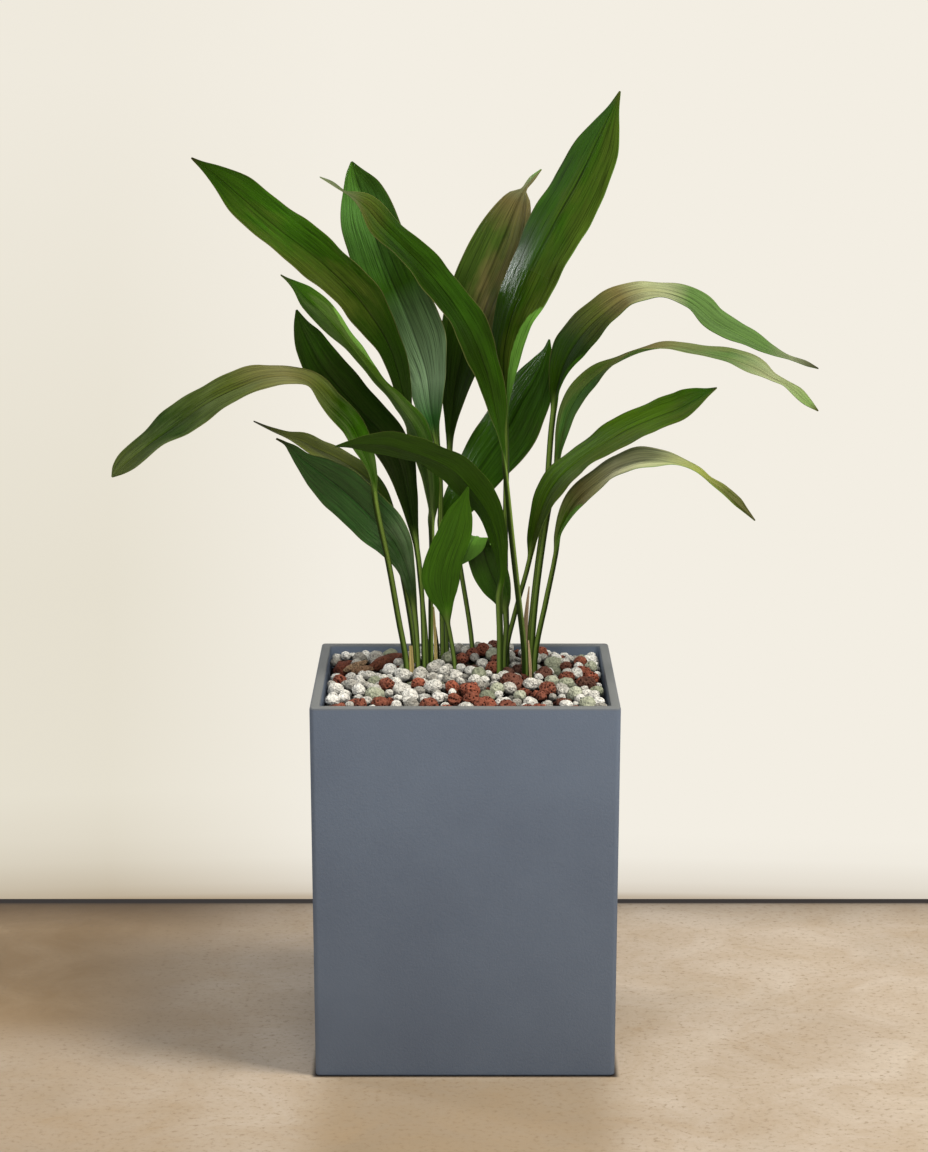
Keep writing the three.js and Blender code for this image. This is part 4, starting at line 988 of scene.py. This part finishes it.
# %% Choose the look of each leaf
BLACK_GREEN = screen_colour(25, 46, 4)
DARK_OLIVE = screen_colour(44, 60, 18)
DEEP = screen_colour(32, 56, 2)
GREEN = screen_colour(44, 80, 8)
BLUE_GREEN = screen_colour(50, 96, 40)
DARK_BLUE_GREEN = screen_colour(40, 80, 30)
FRESH = screen_colour(64, 106, 22)
LEAF_LIGHT = screen_colour(76, 120, 50)
# The two sheen colours are a painted sheen.
PAINTED_SHEEN = screen_colour(96, 124, 84)
LIGHT_PAINTED_SHEEN = screen_colour(122, 150, 112)
OLIVE = screen_colour(70, 80, 26)
LEAF_OLIVE = screen_colour(66, 96, 16)
SHADE_OLIVE = screen_colour(64, 86, 26)
BROWN_OLIVE = screen_colour(84, 82, 38)
GREY_BROWN = screen_colour(106, 98, 56)
# The crest colours are pale as a painted sheen, where an arching leaf catches the sky.
CREST_BROWN = screen_colour(116, 112, 66)
CREST = screen_colour(138, 136, 90)
PALE_OLIVE = screen_colour(100, 115, 68)
CREST_OLIVE = screen_colour(134, 144, 64)
PALE_CREST = screen_colour(140, 148, 108)
LIGHT_CREST = screen_colour(156, 162, 118)
END_CREST = screen_colour(172, 171, 134)
PALE_GREEN = screen_colour(100, 142, 66)
SOFT_GREEN = screen_colour(112, 142, 78)
END_GREEN = screen_colour(80, 108, 54)
GREY_GREEN = screen_colour(116, 124, 92)
TIP_BROWN = screen_colour(44, 40, 16)
PALE_BACK = screen_colour(98, 138, 56)
FOLD_BACK = screen_colour(84, 128, 44)
MID_BACK = screen_colour(50, 86, 10)
DULL_BACK = screen_colour(42, 70, 0)
LIT_BACK = screen_colour(48, 84, 2)
SMALL_BACK = screen_colour(66, 112, 14)
LOW_SHINE = 0.12
LEAF_LOOKS = {
    "leaf_high_left": look(
        [(0, BLACK_GREEN), (0.25, BLACK_GREEN), (0.5, DEEP), (0.7, GREEN), (0.97, DEEP), (1, TIP_BROWN)],
        MID_BACK, OLIVE, 0.2, 0.6, 0.42, patch_span=(0.3, 0.9)),
    # Its pale colours low on the blade are a painted sheen, and its dark patch on the upper right a painted
    # shadow.
    "leaf_back_left": look(
        [(0, DEEP), (0.1, BLUE_GREEN), (0.22, LIGHT_PAINTED_SHEEN), (0.36, PAINTED_SHEEN), (0.55, GREEN), (0.85, LEAF_LIGHT),
         (1, FRESH)],
        MID_BACK, DEEP, -0.3, 0.8, 0.34, patch_span=(0.5, 1.1)),
    "leaf_crossing": look(
        [(0, GREEN), (0.2, DEEP), (0.5, BLACK_GREEN), (0.75, DEEP), (0.86, OLIVE), (1, GREY_GREEN)],
        PALE_BACK, GREEN, -0.1, 0.6, 0.46),
    "leaf_back_centre": look(
        [(0, DEEP), (0.4, DEEP), (0.75, SHADE_OLIVE), (0.86, GREY_BROWN), (0.93, GREY_GREEN),
         (1, PALE_GREEN)],
        DULL_BACK, GREY_BROWN, -0.3, 0.9, 0.5, patch_span=(0.4, 1.1)),
    "leaf_tallest": look(
        [(0, DEEP), (0.3, DEEP), (0.5, GREEN), (0.95, GREEN), (1, OLIVE)],
        FOLD_BACK, OLIVE, -0.3, 0.5, 0.21, dull_tip=0.6),
    "leaf_slim_left": look(
        [(0, DEEP), (0.3, GREEN), (0.55, LEAF_OLIVE), (0.95, GREEN), (1, TIP_BROWN)],
        PALE_BACK, PALE_OLIVE, 0.1, 0.5, 0.45),
    # Its near-black tones are painted shade, for a leaf that lies in shadow.
    "leaf_dark_left": look(
        [(0, BLACK_GREEN), (0.5, BLACK_GREEN), (0.74, DEEP), (0.84, GREEN), (1, GREEN)],
        DULL_BACK, DARK_OLIVE, 0.1, 0.6, 0.5),
    "leaf_droop_left": look(
        [(0, GREEN), (0.18, GREEN), (0.28, DEEP), (0.36, OLIVE), (0.46, CREST_BROWN), (0.6, OLIVE),
         (0.8, DEEP), (1, OLIVE)],
        MID_BACK, PALE_OLIVE, 0.05, 0.4, 0.45, dull_tip=0.3, shine=LOW_SHINE),
    "leaf_olive_left": look(
        [(0, DEEP), (0.3, LEAF_OLIVE), (0.5, CREST_OLIVE), (0.8, CREST_OLIVE), (1, TIP_BROWN)],
        DULL_BACK, BROWN_OLIVE, 0.05, 0.4, 0.5),
    # Its patch is a painted sheen on the lower blade.
    "leaf_glossy_left": look(
        [(0, DEEP), (0.4, BLUE_GREEN), (0.7, DARK_BLUE_GREEN), (0.9, DARK_BLUE_GREEN), (1, TIP_BROWN)],
        PALE_BACK, PAINTED_SHEEN, -0.1, 0.9, 0.24, patch_span=(0.05, 0.5)),
    "leaf_front_arch": look([(0, DEEP), (1, DEEP)], LIT_BACK, DEEP, 0.0, 0.3, 0.55),
    "leaf_front_small": look([(0, GREEN), (1, FRESH)], SMALL_BACK, GREEN, 0.0, 0.3, 0.5),
    "leaf_curled": look([(0, GREEN), (1, GREEN)], FOLD_BACK, GREEN, 0.0, 0.3, 0.42, vein_share=0.3),
    "leaf_back_right": look([(0, DEEP), (0.3, GREEN), (1, GREEN)], PALE_BACK, DEEP, 0.1, 0.4, 0.34),
    "leaf_upper_arch": look(
        [(0, DEEP), (0.22, DEEP), (0.32, OLIVE), (0.39, GREY_BROWN), (0.46, LIGHT_CREST), (0.52, PALE_CREST),
         (0.58, END_GREEN), (0.84, END_GREEN), (0.92, GREY_GREEN), (1, TIP_BROWN)],
        MID_BACK, GREY_BROWN, 0.1, 0.4, 0.6, patch_span=(0.2, 0.6), shine=LOW_SHINE),
    "leaf_middle_arch": look(
        [(0, GREEN), (0.14, LEAF_LIGHT), (0.3, GREEN), (0.38, OLIVE), (0.48, GREY_BROWN), (0.58, PALE_OLIVE),
         (0.7, END_GREEN), (0.84, PALE_CREST), (0.97, SOFT_GREEN), (1, TIP_BROWN)],
        PALE_BACK, GREY_BROWN, 0.1, 0.4, 0.6, shine=LOW_SHINE),
    "leaf_lower_right": look(
        [(0, DEEP), (0.35, LEAF_OLIVE), (0.75, LEAF_OLIVE), (0.97, GREEN), (1, TIP_BROWN)],
        PALE_BACK, OLIVE, -0.2, 0.6, 0.45, shine=LOW_SHINE),
    "leaf_low_arch": look(
        [(0, GREEN), (0.15, LEAF_OLIVE), (0.26, GREY_BROWN), (0.34, CREST), (0.42, END_CREST),
         (0.6, LIGHT_CREST), (0.74, CREST_OLIVE), (0.86, OLIVE), (1, TIP_BROWN)],
        PALE_BACK, CREST, 0.1, 0.5, 0.6, shine=LOW_SHINE),
}
print(len(LEAF_LOOKS), "looks")

# %% [markdown]
# Every leaf gets its finish, with a seed of its own so that no two have the same veins. The sheaths at the
# foot of the plant are dry and pale, and the young shoot is dark green. Their stalk has the same colour as
# their blade along its middle, with painted shade darker at its sides.

# %% Finish the leaves
SEED_STEP = 3.1
SHEATH_SEED = 70.0
SHEATH_PATCH_SHADE = 0.6
SHEATH_STALK_SHADE = 0.7
TAN = screen_colour(206, 184, 120)
CREAM = screen_colour(214, 186, 148)
SHOOT_GREEN = screen_colour(44, 52, 28)
SHEATH_COLOURS = {
    "dry_stub": TAN, "dry_sheath": TAN, "pointed_sheath": CREAM, "pale_sheath": CREAM,
    "young_shoot": SHOOT_GREEN,
}

for number, (name, leaf_look) in enumerate(LEAF_LOOKS.items()):
    piece = leaf_pieces[name]
    piece.data.materials.append(leaf_finish(name + "_finish", leaf_look, SEED_STEP * number))
    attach(piece, "root")
    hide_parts(name)

for number, (name, colour) in enumerate(SHEATH_COLOURS.items()):
    piece = sheath_pieces[name]
    patch = shade(colour, SHEATH_PATCH_SHADE)
    # Painted shading for the round stalk: its sides are darker than its middle.
    stalk = (colour, shade(colour, SHEATH_STALK_SHADE))
    sheath_look = look([(0, colour), (1, colour)], colour, patch, 0.1, 0.5, 0.7, stalk=stalk)
    piece.data.materials.append(leaf_finish(name + "_finish", sheath_look, SHEATH_SEED + number))
    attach(piece, "root")
    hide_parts(name)
print("leaves finished")

# %% [markdown]
# The planter is filled with mineral grains, as sold for house plants: white pumice, brick-red lava and
# pale green zeolite. Under the loose stones lies a bed that nothing shows of but the gaps. Its near-black
# colour is painted shade, for the grains deeper down. It is a cube at the filling's size, whose top face is
# cut into a grid and pushed up into a low mound.

# %% Model the bed under the stones
FILL_HALF = 0.1396
FILL_TAPER = 0.98
FILL_FLOOR = 0.0126
STONES_EDGE_TOP = 365.5
STONES_MIDDLE_TOP = 374.0
MOUND_POWER = 2.2
BACK_HEAP = (12.0, 114.0, 40.0, 11.0)
STONE_LAYER = 18.0
GRID_CUTS = 19


def heap_height(x, y):
    """How high the stones reach at x and y, all in millimetres: a mound, with a small heap at the back."""
    out = np.clip(np.maximum(np.abs(x), np.abs(y)) / (FILL_HALF / MM), 0, 1)
    mound = STONES_MIDDLE_TOP - (STONES_MIDDLE_TOP - STONES_EDGE_TOP) * out**MOUND_POWER
    heap_x, heap_y, reach, height = BACK_HEAP
    return mound + height * np.exp(-((x - heap_x) ** 2 + (y - heap_y) ** 2) / (2 * reach**2))


bed_top = (STONES_EDGE_TOP - STONE_LAYER) * MM
bed = tapered_box("bed_under_stones", 2 * FILL_HALF, FILL_FLOOR, bed_top, FILL_TAPER)
bpy.ops.mesh.subdivide(number_cuts=GRID_CUTS)
bpy.ops.object.mode_set(mode="OBJECT")
for point in bed.data.vertices:
    if point.co.z > bed_top - MM:
        point.co.z = (heap_height(point.co.x / MM, point.co.y / MM) - STONE_LAYER) * MM
bed.data.update()
print("bed top from", round(bed_top / MM), "mm up")

# %% [markdown]
# The bark chips and the stones that the photo shows plainly are laid first, each at the place read off the
# photo: x, y and radius in millimetres. A chip's row holds x, y, length, width, height, turn in degrees
# and tone. Each stone moves aside where it would meet a leaf stalk. A chip counts as a few round places.

# %% Lay the stones that show plainly
BARK_CHIPS = [
    (-125, 64, 34, 19, 17, 84, 0.95), (-112, 60, 50, 9, 9, 64, 0.1), (-104, 40, 26, 8, 8, 34, 0.3),
    (-82, 74, 66, 14, 14, 60, 0.85),
]
KNOWN_STONES = {
    "lava": [
        (47, -29, 12.5), (79, 13, 9.5), (82, -52, 9.5), (122, -18, 9.5), (128, 13, 7), (5, -63, 10),
        (-78, -36, 10), (-35, -112, 9.5), (-3, 62, 7.5), (28, 28, 7.5), (-13, -52, 8), (-11, -97, 7),
        (78, 113, 8), (19, -112, 11), (41, -116, 9), (119, 85, 7), (103, 55, 6), (-47, -40, 7),
        (-121, -127, 8), (-102, -112, 7), (60, -129, 9), (-126, 5, 7), (30, 128, 8), (18, 94, 8),
        (75, -86, 6), (-17, -130, 8), (107, -131, 7),
    ],
    "zeolite": [
        (14, 2, 9.5), (-89, -74, 10), (90, 62, 9), (101, -21, 8.5), (108, -67, 8.5), (31, -60, 8.5),
        (54, -82, 8), (-17, 66, 8), (22, -86, 8), (28, 77, 8), (129, 66, 7.5), (119, -105, 8.5),
        (131, -44, 7), (-78, 108, 9),
    ],
    "pumice": [
        (-63, 2, 8.5), (-62, -59, 9.5), (-45, 9, 7.5), (-32, -48, 9.5), (-22, 13, 7), (-9, -10, 7),
        (65, -36, 7.5), (-129, -36, 8.5), (-130, -82, 7.5), (-113, -25, 7), (-97, 13, 7), (-76, 32, 8),
        (-27, -92, 7), (1, -124, 8.5), (98, -112, 7), (113, 28, 7), (126, -67, 7), (-67, -130, 8.5),
        (-52, -112, 7.5), (-105, -52, 7), (-32, 30, 7.5), (131, -120, 8), (71, 78, 8), (-92, 94, 9),
    ],
}
CHIP_SPREAD = (-0.36, -0.12, 0.12, 0.36)
CHIP_REACH = 0.6
CHIP_SINK = 0.25
PROUD_SHARE = 0.35
STALK_ROOM = 3.0
STALK_LEVEL = 368.0
STALK_STATIONS = 400
STONE_REACH = 0.8


def stalk_places():
    """Where each stalk passes through the top of the stones."""
    places = []
    for leaf in [*LEAVES.values(), *SHEATHS.values()]:
        rows, _, end = leaf_lengths(leaf)
        values, _ = follow_midrib(rows, np.linspace(0, end, STALK_STATIONS))
        nearest = int(np.argmin(np.abs(values[:, 2] - STALK_LEVEL)))
        places.append(values[nearest, :2])
    return np.array(places)


def known_stones(stalks):
    """The places of the chips and of the known stones, as x, y, z and radius, and the kind of each."""
    laid, kinds = [], []
    for x, y, length, width, height, turn, _ in BARK_CHIPS:
        for part in CHIP_SPREAD:
            chip_x = x + part * length * math.cos(math.radians(turn))
            chip_y = y + part * length * math.sin(math.radians(turn))
            chip_z = heap_height(chip_x, chip_y) - CHIP_SINK * height
            laid.append((chip_x, chip_y, chip_z, CHIP_REACH * width))
            kinds.append("bark")
    for kind, rows in KNOWN_STONES.items():
        for x, y, radius in rows:
            gaps = np.array([x, y]) - stalks
            nearest = gaps[int(np.argmin(np.linalg.norm(gaps, axis=1)))]
            distance = float(np.linalg.norm(nearest))
            push = max(STALK_ROOM + STONE_REACH * radius - distance, 0) / max(distance, 1)
            x, y = x + push * nearest[0], y + push * nearest[1]
            laid.append((x, y, heap_height(x, y) - PROUD_SHARE * radius, radius))
            kinds.append(kind)
    return np.array(laid), kinds


stalks = stalk_places()
stones, stone_kinds = known_stones(stalks)
print(len(stones), "places taken")

# %% [markdown]
# The other stones are laid like real ones, one after another. Each new stone tries many places, and takes
# the one where it comes to rest lowest under the wanted mound, on the bed or on the stones already there.
# It keeps clear of the walls and of the leaf stalks. The same seed gives the same heap each time.

# %% Lay the heap of stones
STONE_SEED = 12
TRIES = 70
FAILURES_ALLOWED = 60
STONE_KINDS = {
    "pumice": {"share": 0.27, "radius": (6.8, 10.8)},
    "fine_pumice": {"share": 0.09, "radius": (4.4, 6.2)},
    "lava": {"share": 0.40, "radius": (8.0, 13.0)},
    "zeolite": {"share": 0.24, "radius": (8.0, 12.0)},
}
STONE_SQUEEZE = 0.94
WALL_REACH = 0.96
BED_REST = 0.4
STACKING = 0.9
MOST_PROUD = 0.25
NOT_TOUCHING = -1e9


def rest_heights(spots, radius, laid):
    """How high a stone's middle would be at each spot, on the bed or on the stones laid so far."""
    rest = heap_height(spots[:, 0], spots[:, 1]) - STONE_LAYER + BED_REST * radius
    apart = ((spots[:, None] - laid[None, :, :2]) ** 2).sum(axis=2)
    reach = (STONE_SQUEEZE * (radius + laid[:, 3])) ** 2
    on_top = laid[:, 2] + np.sqrt(np.maximum(reach[None] - apart, 0)) * STACKING
    return np.maximum(rest, np.where(apart < reach[None], on_top, NOT_TOUCHING).max(axis=1))


def lay_heap(laid, kinds, stalks):
    chance = np.random.default_rng(STONE_SEED)
    names = list(STONE_KINDS)
    shares = np.array([STONE_KINDS[name]["share"] for name in names])
    failures = 0
    while failures < FAILURES_ALLOWED:
        kind = names[chance.choice(len(names), p=shares / shares.sum())]
        radius = chance.uniform(*STONE_KINDS[kind]["radius"])
        limit = FILL_HALF / MM - radius * WALL_REACH
        spots = chance.uniform(-limit, limit, (TRIES, 2))
        room = np.linalg.norm(spots[:, None] - stalks[None], axis=2).min(axis=1)
        spots = spots[room > STALK_ROOM + STONE_REACH * radius]
        if not len(spots):
            continue
        rest = rest_heights(spots, radius, laid)
        over = rest + STONE_REACH * radius - heap_height(spots[:, 0], spots[:, 1])
        best = int(np.argmin(over))
        if over[best] > MOST_PROUD * radius:
            failures += 1
            continue
        failures = 0
        laid = np.vstack([laid, [spots[best, 0], spots[best, 1], rest[best], radius]])
        kinds.append(kind)
    return laid, kinds


stones, stone_kinds = lay_heap(stones, stone_kinds, stalks)
highest = round(float((stones[:, 2] + stones[:, 3]).max()))
print(len(stones), "places taken, the highest top at", highest, "mm")

# %% [markdown]
# A few master stones of each kind are shaped from a ball of triangles, by displace modifiers with a cloudy
# or a cellular texture. Each master stands at its own place while it is shaped, and the texture is read in
# world space, so no two come out alike. A bark chip is such a lumpy ball too, stretched to its length.

# %% Shape the master stones and the bark chips
MASTERS_PER_KIND = 8
STONE_FORMS = {
    "pumice": {"cuts": 3, "lumps": 0.46, "lump_size": 1.1, "knobs": 0.10, "knob_size": 0.4},
    "lava": {"cuts": 4, "lumps": 0.40, "lump_size": 1.0, "knobs": 0.26, "knob_size": 0.34},
    "zeolite": {"cuts": 3, "lumps": 0.46, "lump_size": 1.2, "knobs": 0.12, "knob_size": 0.5},
}
CHIP_FORM = {"cuts": 4, "lumps": 0.5, "lump_size": 0.9}
LUMP_MIDDLE = 0.5
KNOB_MIDDLE = 0.4
CLOUD_DEPTH = 2
MASTER_SPACING = 7.3
MASTER_LEVEL = 3
CHIP_LEVEL = -9


def displace(piece, kind, size, strength, middle):
    texture = bpy.data.textures.new(piece.name + "_" + kind.lower(), kind)
    texture.noise_scale = size
    if kind == "CLOUDS":
        texture.noise_depth = CLOUD_DEPTH
    modifier = piece.modifiers.new("shape", "DISPLACE")
    modifier.texture = texture
    modifier.texture_coords = "GLOBAL"
    modifier.strength = strength
    modifier.mid_level = middle
    bpy.ops.object.modifier_apply(modifier=modifier.name)


def lumpy_ball(name, form, place):
    bpy.ops.object.select_all(action="DESELECT")
    bpy.ops.mesh.primitive_ico_sphere_add(subdivisions=form["cuts"], radius=1, location=place)
    ball = start_piece(name)
    displace(ball, "CLOUDS", form["lump_size"], form["lumps"], LUMP_MIDDLE)
    if "knobs" in form:
        displace(ball, "VORONOI", form["knob_size"], form["knobs"], KNOB_MIDDLE)
    bpy.ops.object.shade_smooth()
    return ball


def join_pieces(pieces, name):
    bpy.ops.object.select_all(action="DESELECT")
    for piece in pieces:
        piece.select_set(True)
    bpy.context.view_layer.objects.active = pieces[0]
    bpy.ops.object.join()
    joined = start_piece(name)
    bpy.ops.object.transform_apply(location=True, rotation=True, scale=True)
    return joined


def add_chip(number, chip):
    x, y, length, width, height, turn, tone = chip
    piece = lumpy_ball(f"bark_chip_{number}", CHIP_FORM, (MASTER_SPACING * number, 0, CHIP_LEVEL))
    place = Matrix.Translation(Vector((x, y, heap_height(x, y) - CHIP_SINK * height)) * MM)
    size = Matrix.Diagonal((length / 2 * MM, width / 2 * MM, height / 2 * MM, 1))
    piece.matrix_world = place @ Matrix.Rotation(math.radians(turn), 4, "Z") @ size
    mark_points(piece, "tone", tone)
    mark_points(piece, "sunk", 0.0)
    return piece


bark_chips = join_pieces([add_chip(number, chip) for number, chip in enumerate(BARK_CHIPS)], "bark_chips")
print("bark chips", len(bark_chips.data.polygons), "faces")

# %% [markdown]
# Every laid stone is a turned and scaled copy of a master with its own mesh. The copies of a kind are
# joined into one piece. Each keeps one random value on its points, so that the finish can give each stone
# its own tone, and each point keeps how deep it lies under the top of the heap, so that the finish can paint
# shade into the gaps.

# %% Copy the master stones
TILT_LIMIT = math.radians(25)
OWN_TURN_LIMIT = 6.28
DEPTH_SQUASH = (0.78, 1.0)
HEIGHT_SQUASH = (0.68, 0.9)


def copy_stone(master, stone, chance):
    x, y, z, radius = stone
    copy = master.copy()
    copy.data = master.data.copy()
    bpy.context.collection.objects.link(copy)
    turn = Matrix.Rotation(chance.uniform(0, 2 * math.pi), 4, "Z")
    tilt = Matrix.Rotation(chance.uniform(-TILT_LIMIT, TILT_LIMIT), 4, "X")
    own = Matrix.Rotation(chance.uniform(0, 2 * math.pi), 4, "Z")
    own = own @ Matrix.Rotation(chance.uniform(0, OWN_TURN_LIMIT), 4, "Y")
    squash = Matrix.Diagonal((1.0, chance.uniform(*DEPTH_SQUASH), chance.uniform(*HEIGHT_SQUASH), 1.0))
    size = Matrix.Scale(radius * MM, 4)
    copy.matrix_world = Matrix.Translation(Vector((x, y, z)) * MM) @ turn @ tilt @ squash @ own @ size
    mark_points(copy, "tone", chance.uniform(0, 1))
    places = [copy.matrix_world @ point.co for point in copy.data.vertices]
    mark_points(copy, "sunk", [heap_height(p.x / MM, p.y / MM) - p.z / MM for p in places])
    return copy


stone_chance = np.random.default_rng(STONE_SEED + 1)
heaps = {}
for row, (kind, form) in enumerate(STONE_FORMS.items()):
    masters = []
    for number in range(MASTERS_PER_KIND):
        place = (MASTER_SPACING * number, MASTER_SPACING * row, MASTER_LEVEL)
        masters.append(lumpy_ball(f"master_{kind}_{number}", form, place))
    chosen = [stone for stone, laid_kind in zip(stones, stone_kinds) if laid_kind.endswith(kind)]
    copies = [
        copy_stone(masters[number % MASTERS_PER_KIND], stone, stone_chance)
        for number, stone in enumerate(chosen)
    ]
    heaps[kind] = join_pieces(copies, kind + "_stones")
    for master in masters:
        bpy.data.objects.remove(master)
    print(kind, len(chosen), "stones,", len(heaps[kind].data.polygons), "faces")

# %% [markdown]
# Stone finishes. Pumice is off-white to grey with dark pores, lava is brick red, rough as a cinder, with
# dark hollows, zeolite is a pale grey-green with soft blotches, and bark is brown. All read object
# coordinates, at the size of the real pores, and the tone value that each stone carries. Each turns nearly
# black with depth in the heap: painted shade, for the gaps where no light reaches.

# %% Finish the stones and the bed
GAP_SHADE_DEPTH = 8.5
GAP_SHADE_STOPS = [(0.3, 1.0), (1.0, 0.14)]
BLOTCHES_PER_METRE = 260.0
BLOTCH_STOPS = [(0.35, 0.0), (0.7, 0.5)]
WOBBLE_SCALE = 1.6
WOBBLE_SHARE = 0.5
PORE_FADE = 0.14
PORE_DEPTH = 0.002
PORE_STRENGTH = 1.0
STONE_SHINE = 0.25
BED_SHADE_COLOUR = screen_colour(36, 28, 24)


def tone_stops(first, middle_place, middle, last):
    colours = (screen_colour(*first), screen_colour(*middle), screen_colour(*last))
    return list(zip((0.0, middle_place, 1.0), colours))


PUMICE_TONES = tone_stops((150, 147, 138), 0.3, (212, 209, 199), (248, 246, 238))
LAVA_TONES = tone_stops((92, 70, 60), 0.35, (132, 82, 66), (164, 94, 72))
ZEOLITE_TONES = tone_stops((128, 132, 112), 0.5, (160, 163, 140), (196, 198, 176))
BARK_TONES = tone_stops((156, 132, 104), 0.5, (128, 92, 70), (104, 54, 42))


def stone_finish(name, tones, pore_colour, pore_size, pore_share, roughness):
    material = new_material(name)
    colour = colour_ramp(material, attribute_value(material, "tone"), tones)
    blotch = object_pattern(material, BLOTCHES_PER_METRE, Detail=3.0, Roughness=0.6)
    colour = mix_colours(material, grey_ramp(material, blotch, BLOTCH_STOPS), colour, pore_colour)
    pores = object_pattern(material, 1 / pore_size, "Voronoi", "Distance")
    wobble = object_pattern(material, WOBBLE_SCALE / pore_size, Detail=3.0)
    depth = calculate(material, "ADD", pores, product(material, wobble, WOBBLE_SHARE))
    pore = grey_ramp(material, depth, [(pore_share, 1.0), (pore_share + PORE_FADE, 0.0)])
    colour = mix_colours(material, pore, colour, pore_colour)
    # Painted shade in the gaps: the colour darkens with depth under the top of the heap.
    sunk = calculate(material, "DIVIDE", attribute_value(material, "sunk"), GAP_SHADE_DEPTH)
    colour = mix_colours(material, 1.0, colour, grey_ramp(material, sunk, GAP_SHADE_STOPS), "MULTIPLY")
    set_surface(material, colour, roughness, STONE_SHINE, bump(material, depth, PORE_STRENGTH, PORE_DEPTH))
    return material


STONE_FINISHES = {
    "pumice": stone_finish("pumice", PUMICE_TONES, screen_colour(72, 66, 60), 0.0026, 0.36, 0.9),
    "lava": stone_finish("lava", LAVA_TONES, screen_colour(46, 20, 16), 0.0030, 0.5, 0.95),
    "zeolite": stone_finish("zeolite", ZEOLITE_TONES, screen_colour(84, 92, 70), 0.0030, 0.36, 0.9),
}
for kind, heap in heaps.items():
    heap.data.materials.append(STONE_FINISHES[kind])
bark_finish = stone_finish("bark", BARK_TONES, screen_colour(58, 38, 30), 0.003, 0.4, 0.95)
bark_chips.data.materials.append(bark_finish)
# The bed's near-black colour is painted shade.
bed_shade_finish = new_material("bed_painted_shade")
set_surface(bed_shade_finish, BED_SHADE_COLOUR, 1.0)
bed.data.materials.append(bed_shade_finish)
for piece in (bed, bark_chips, *heaps.values()):
    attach(piece, "root")
    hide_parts("substrate")
print("stones finished")
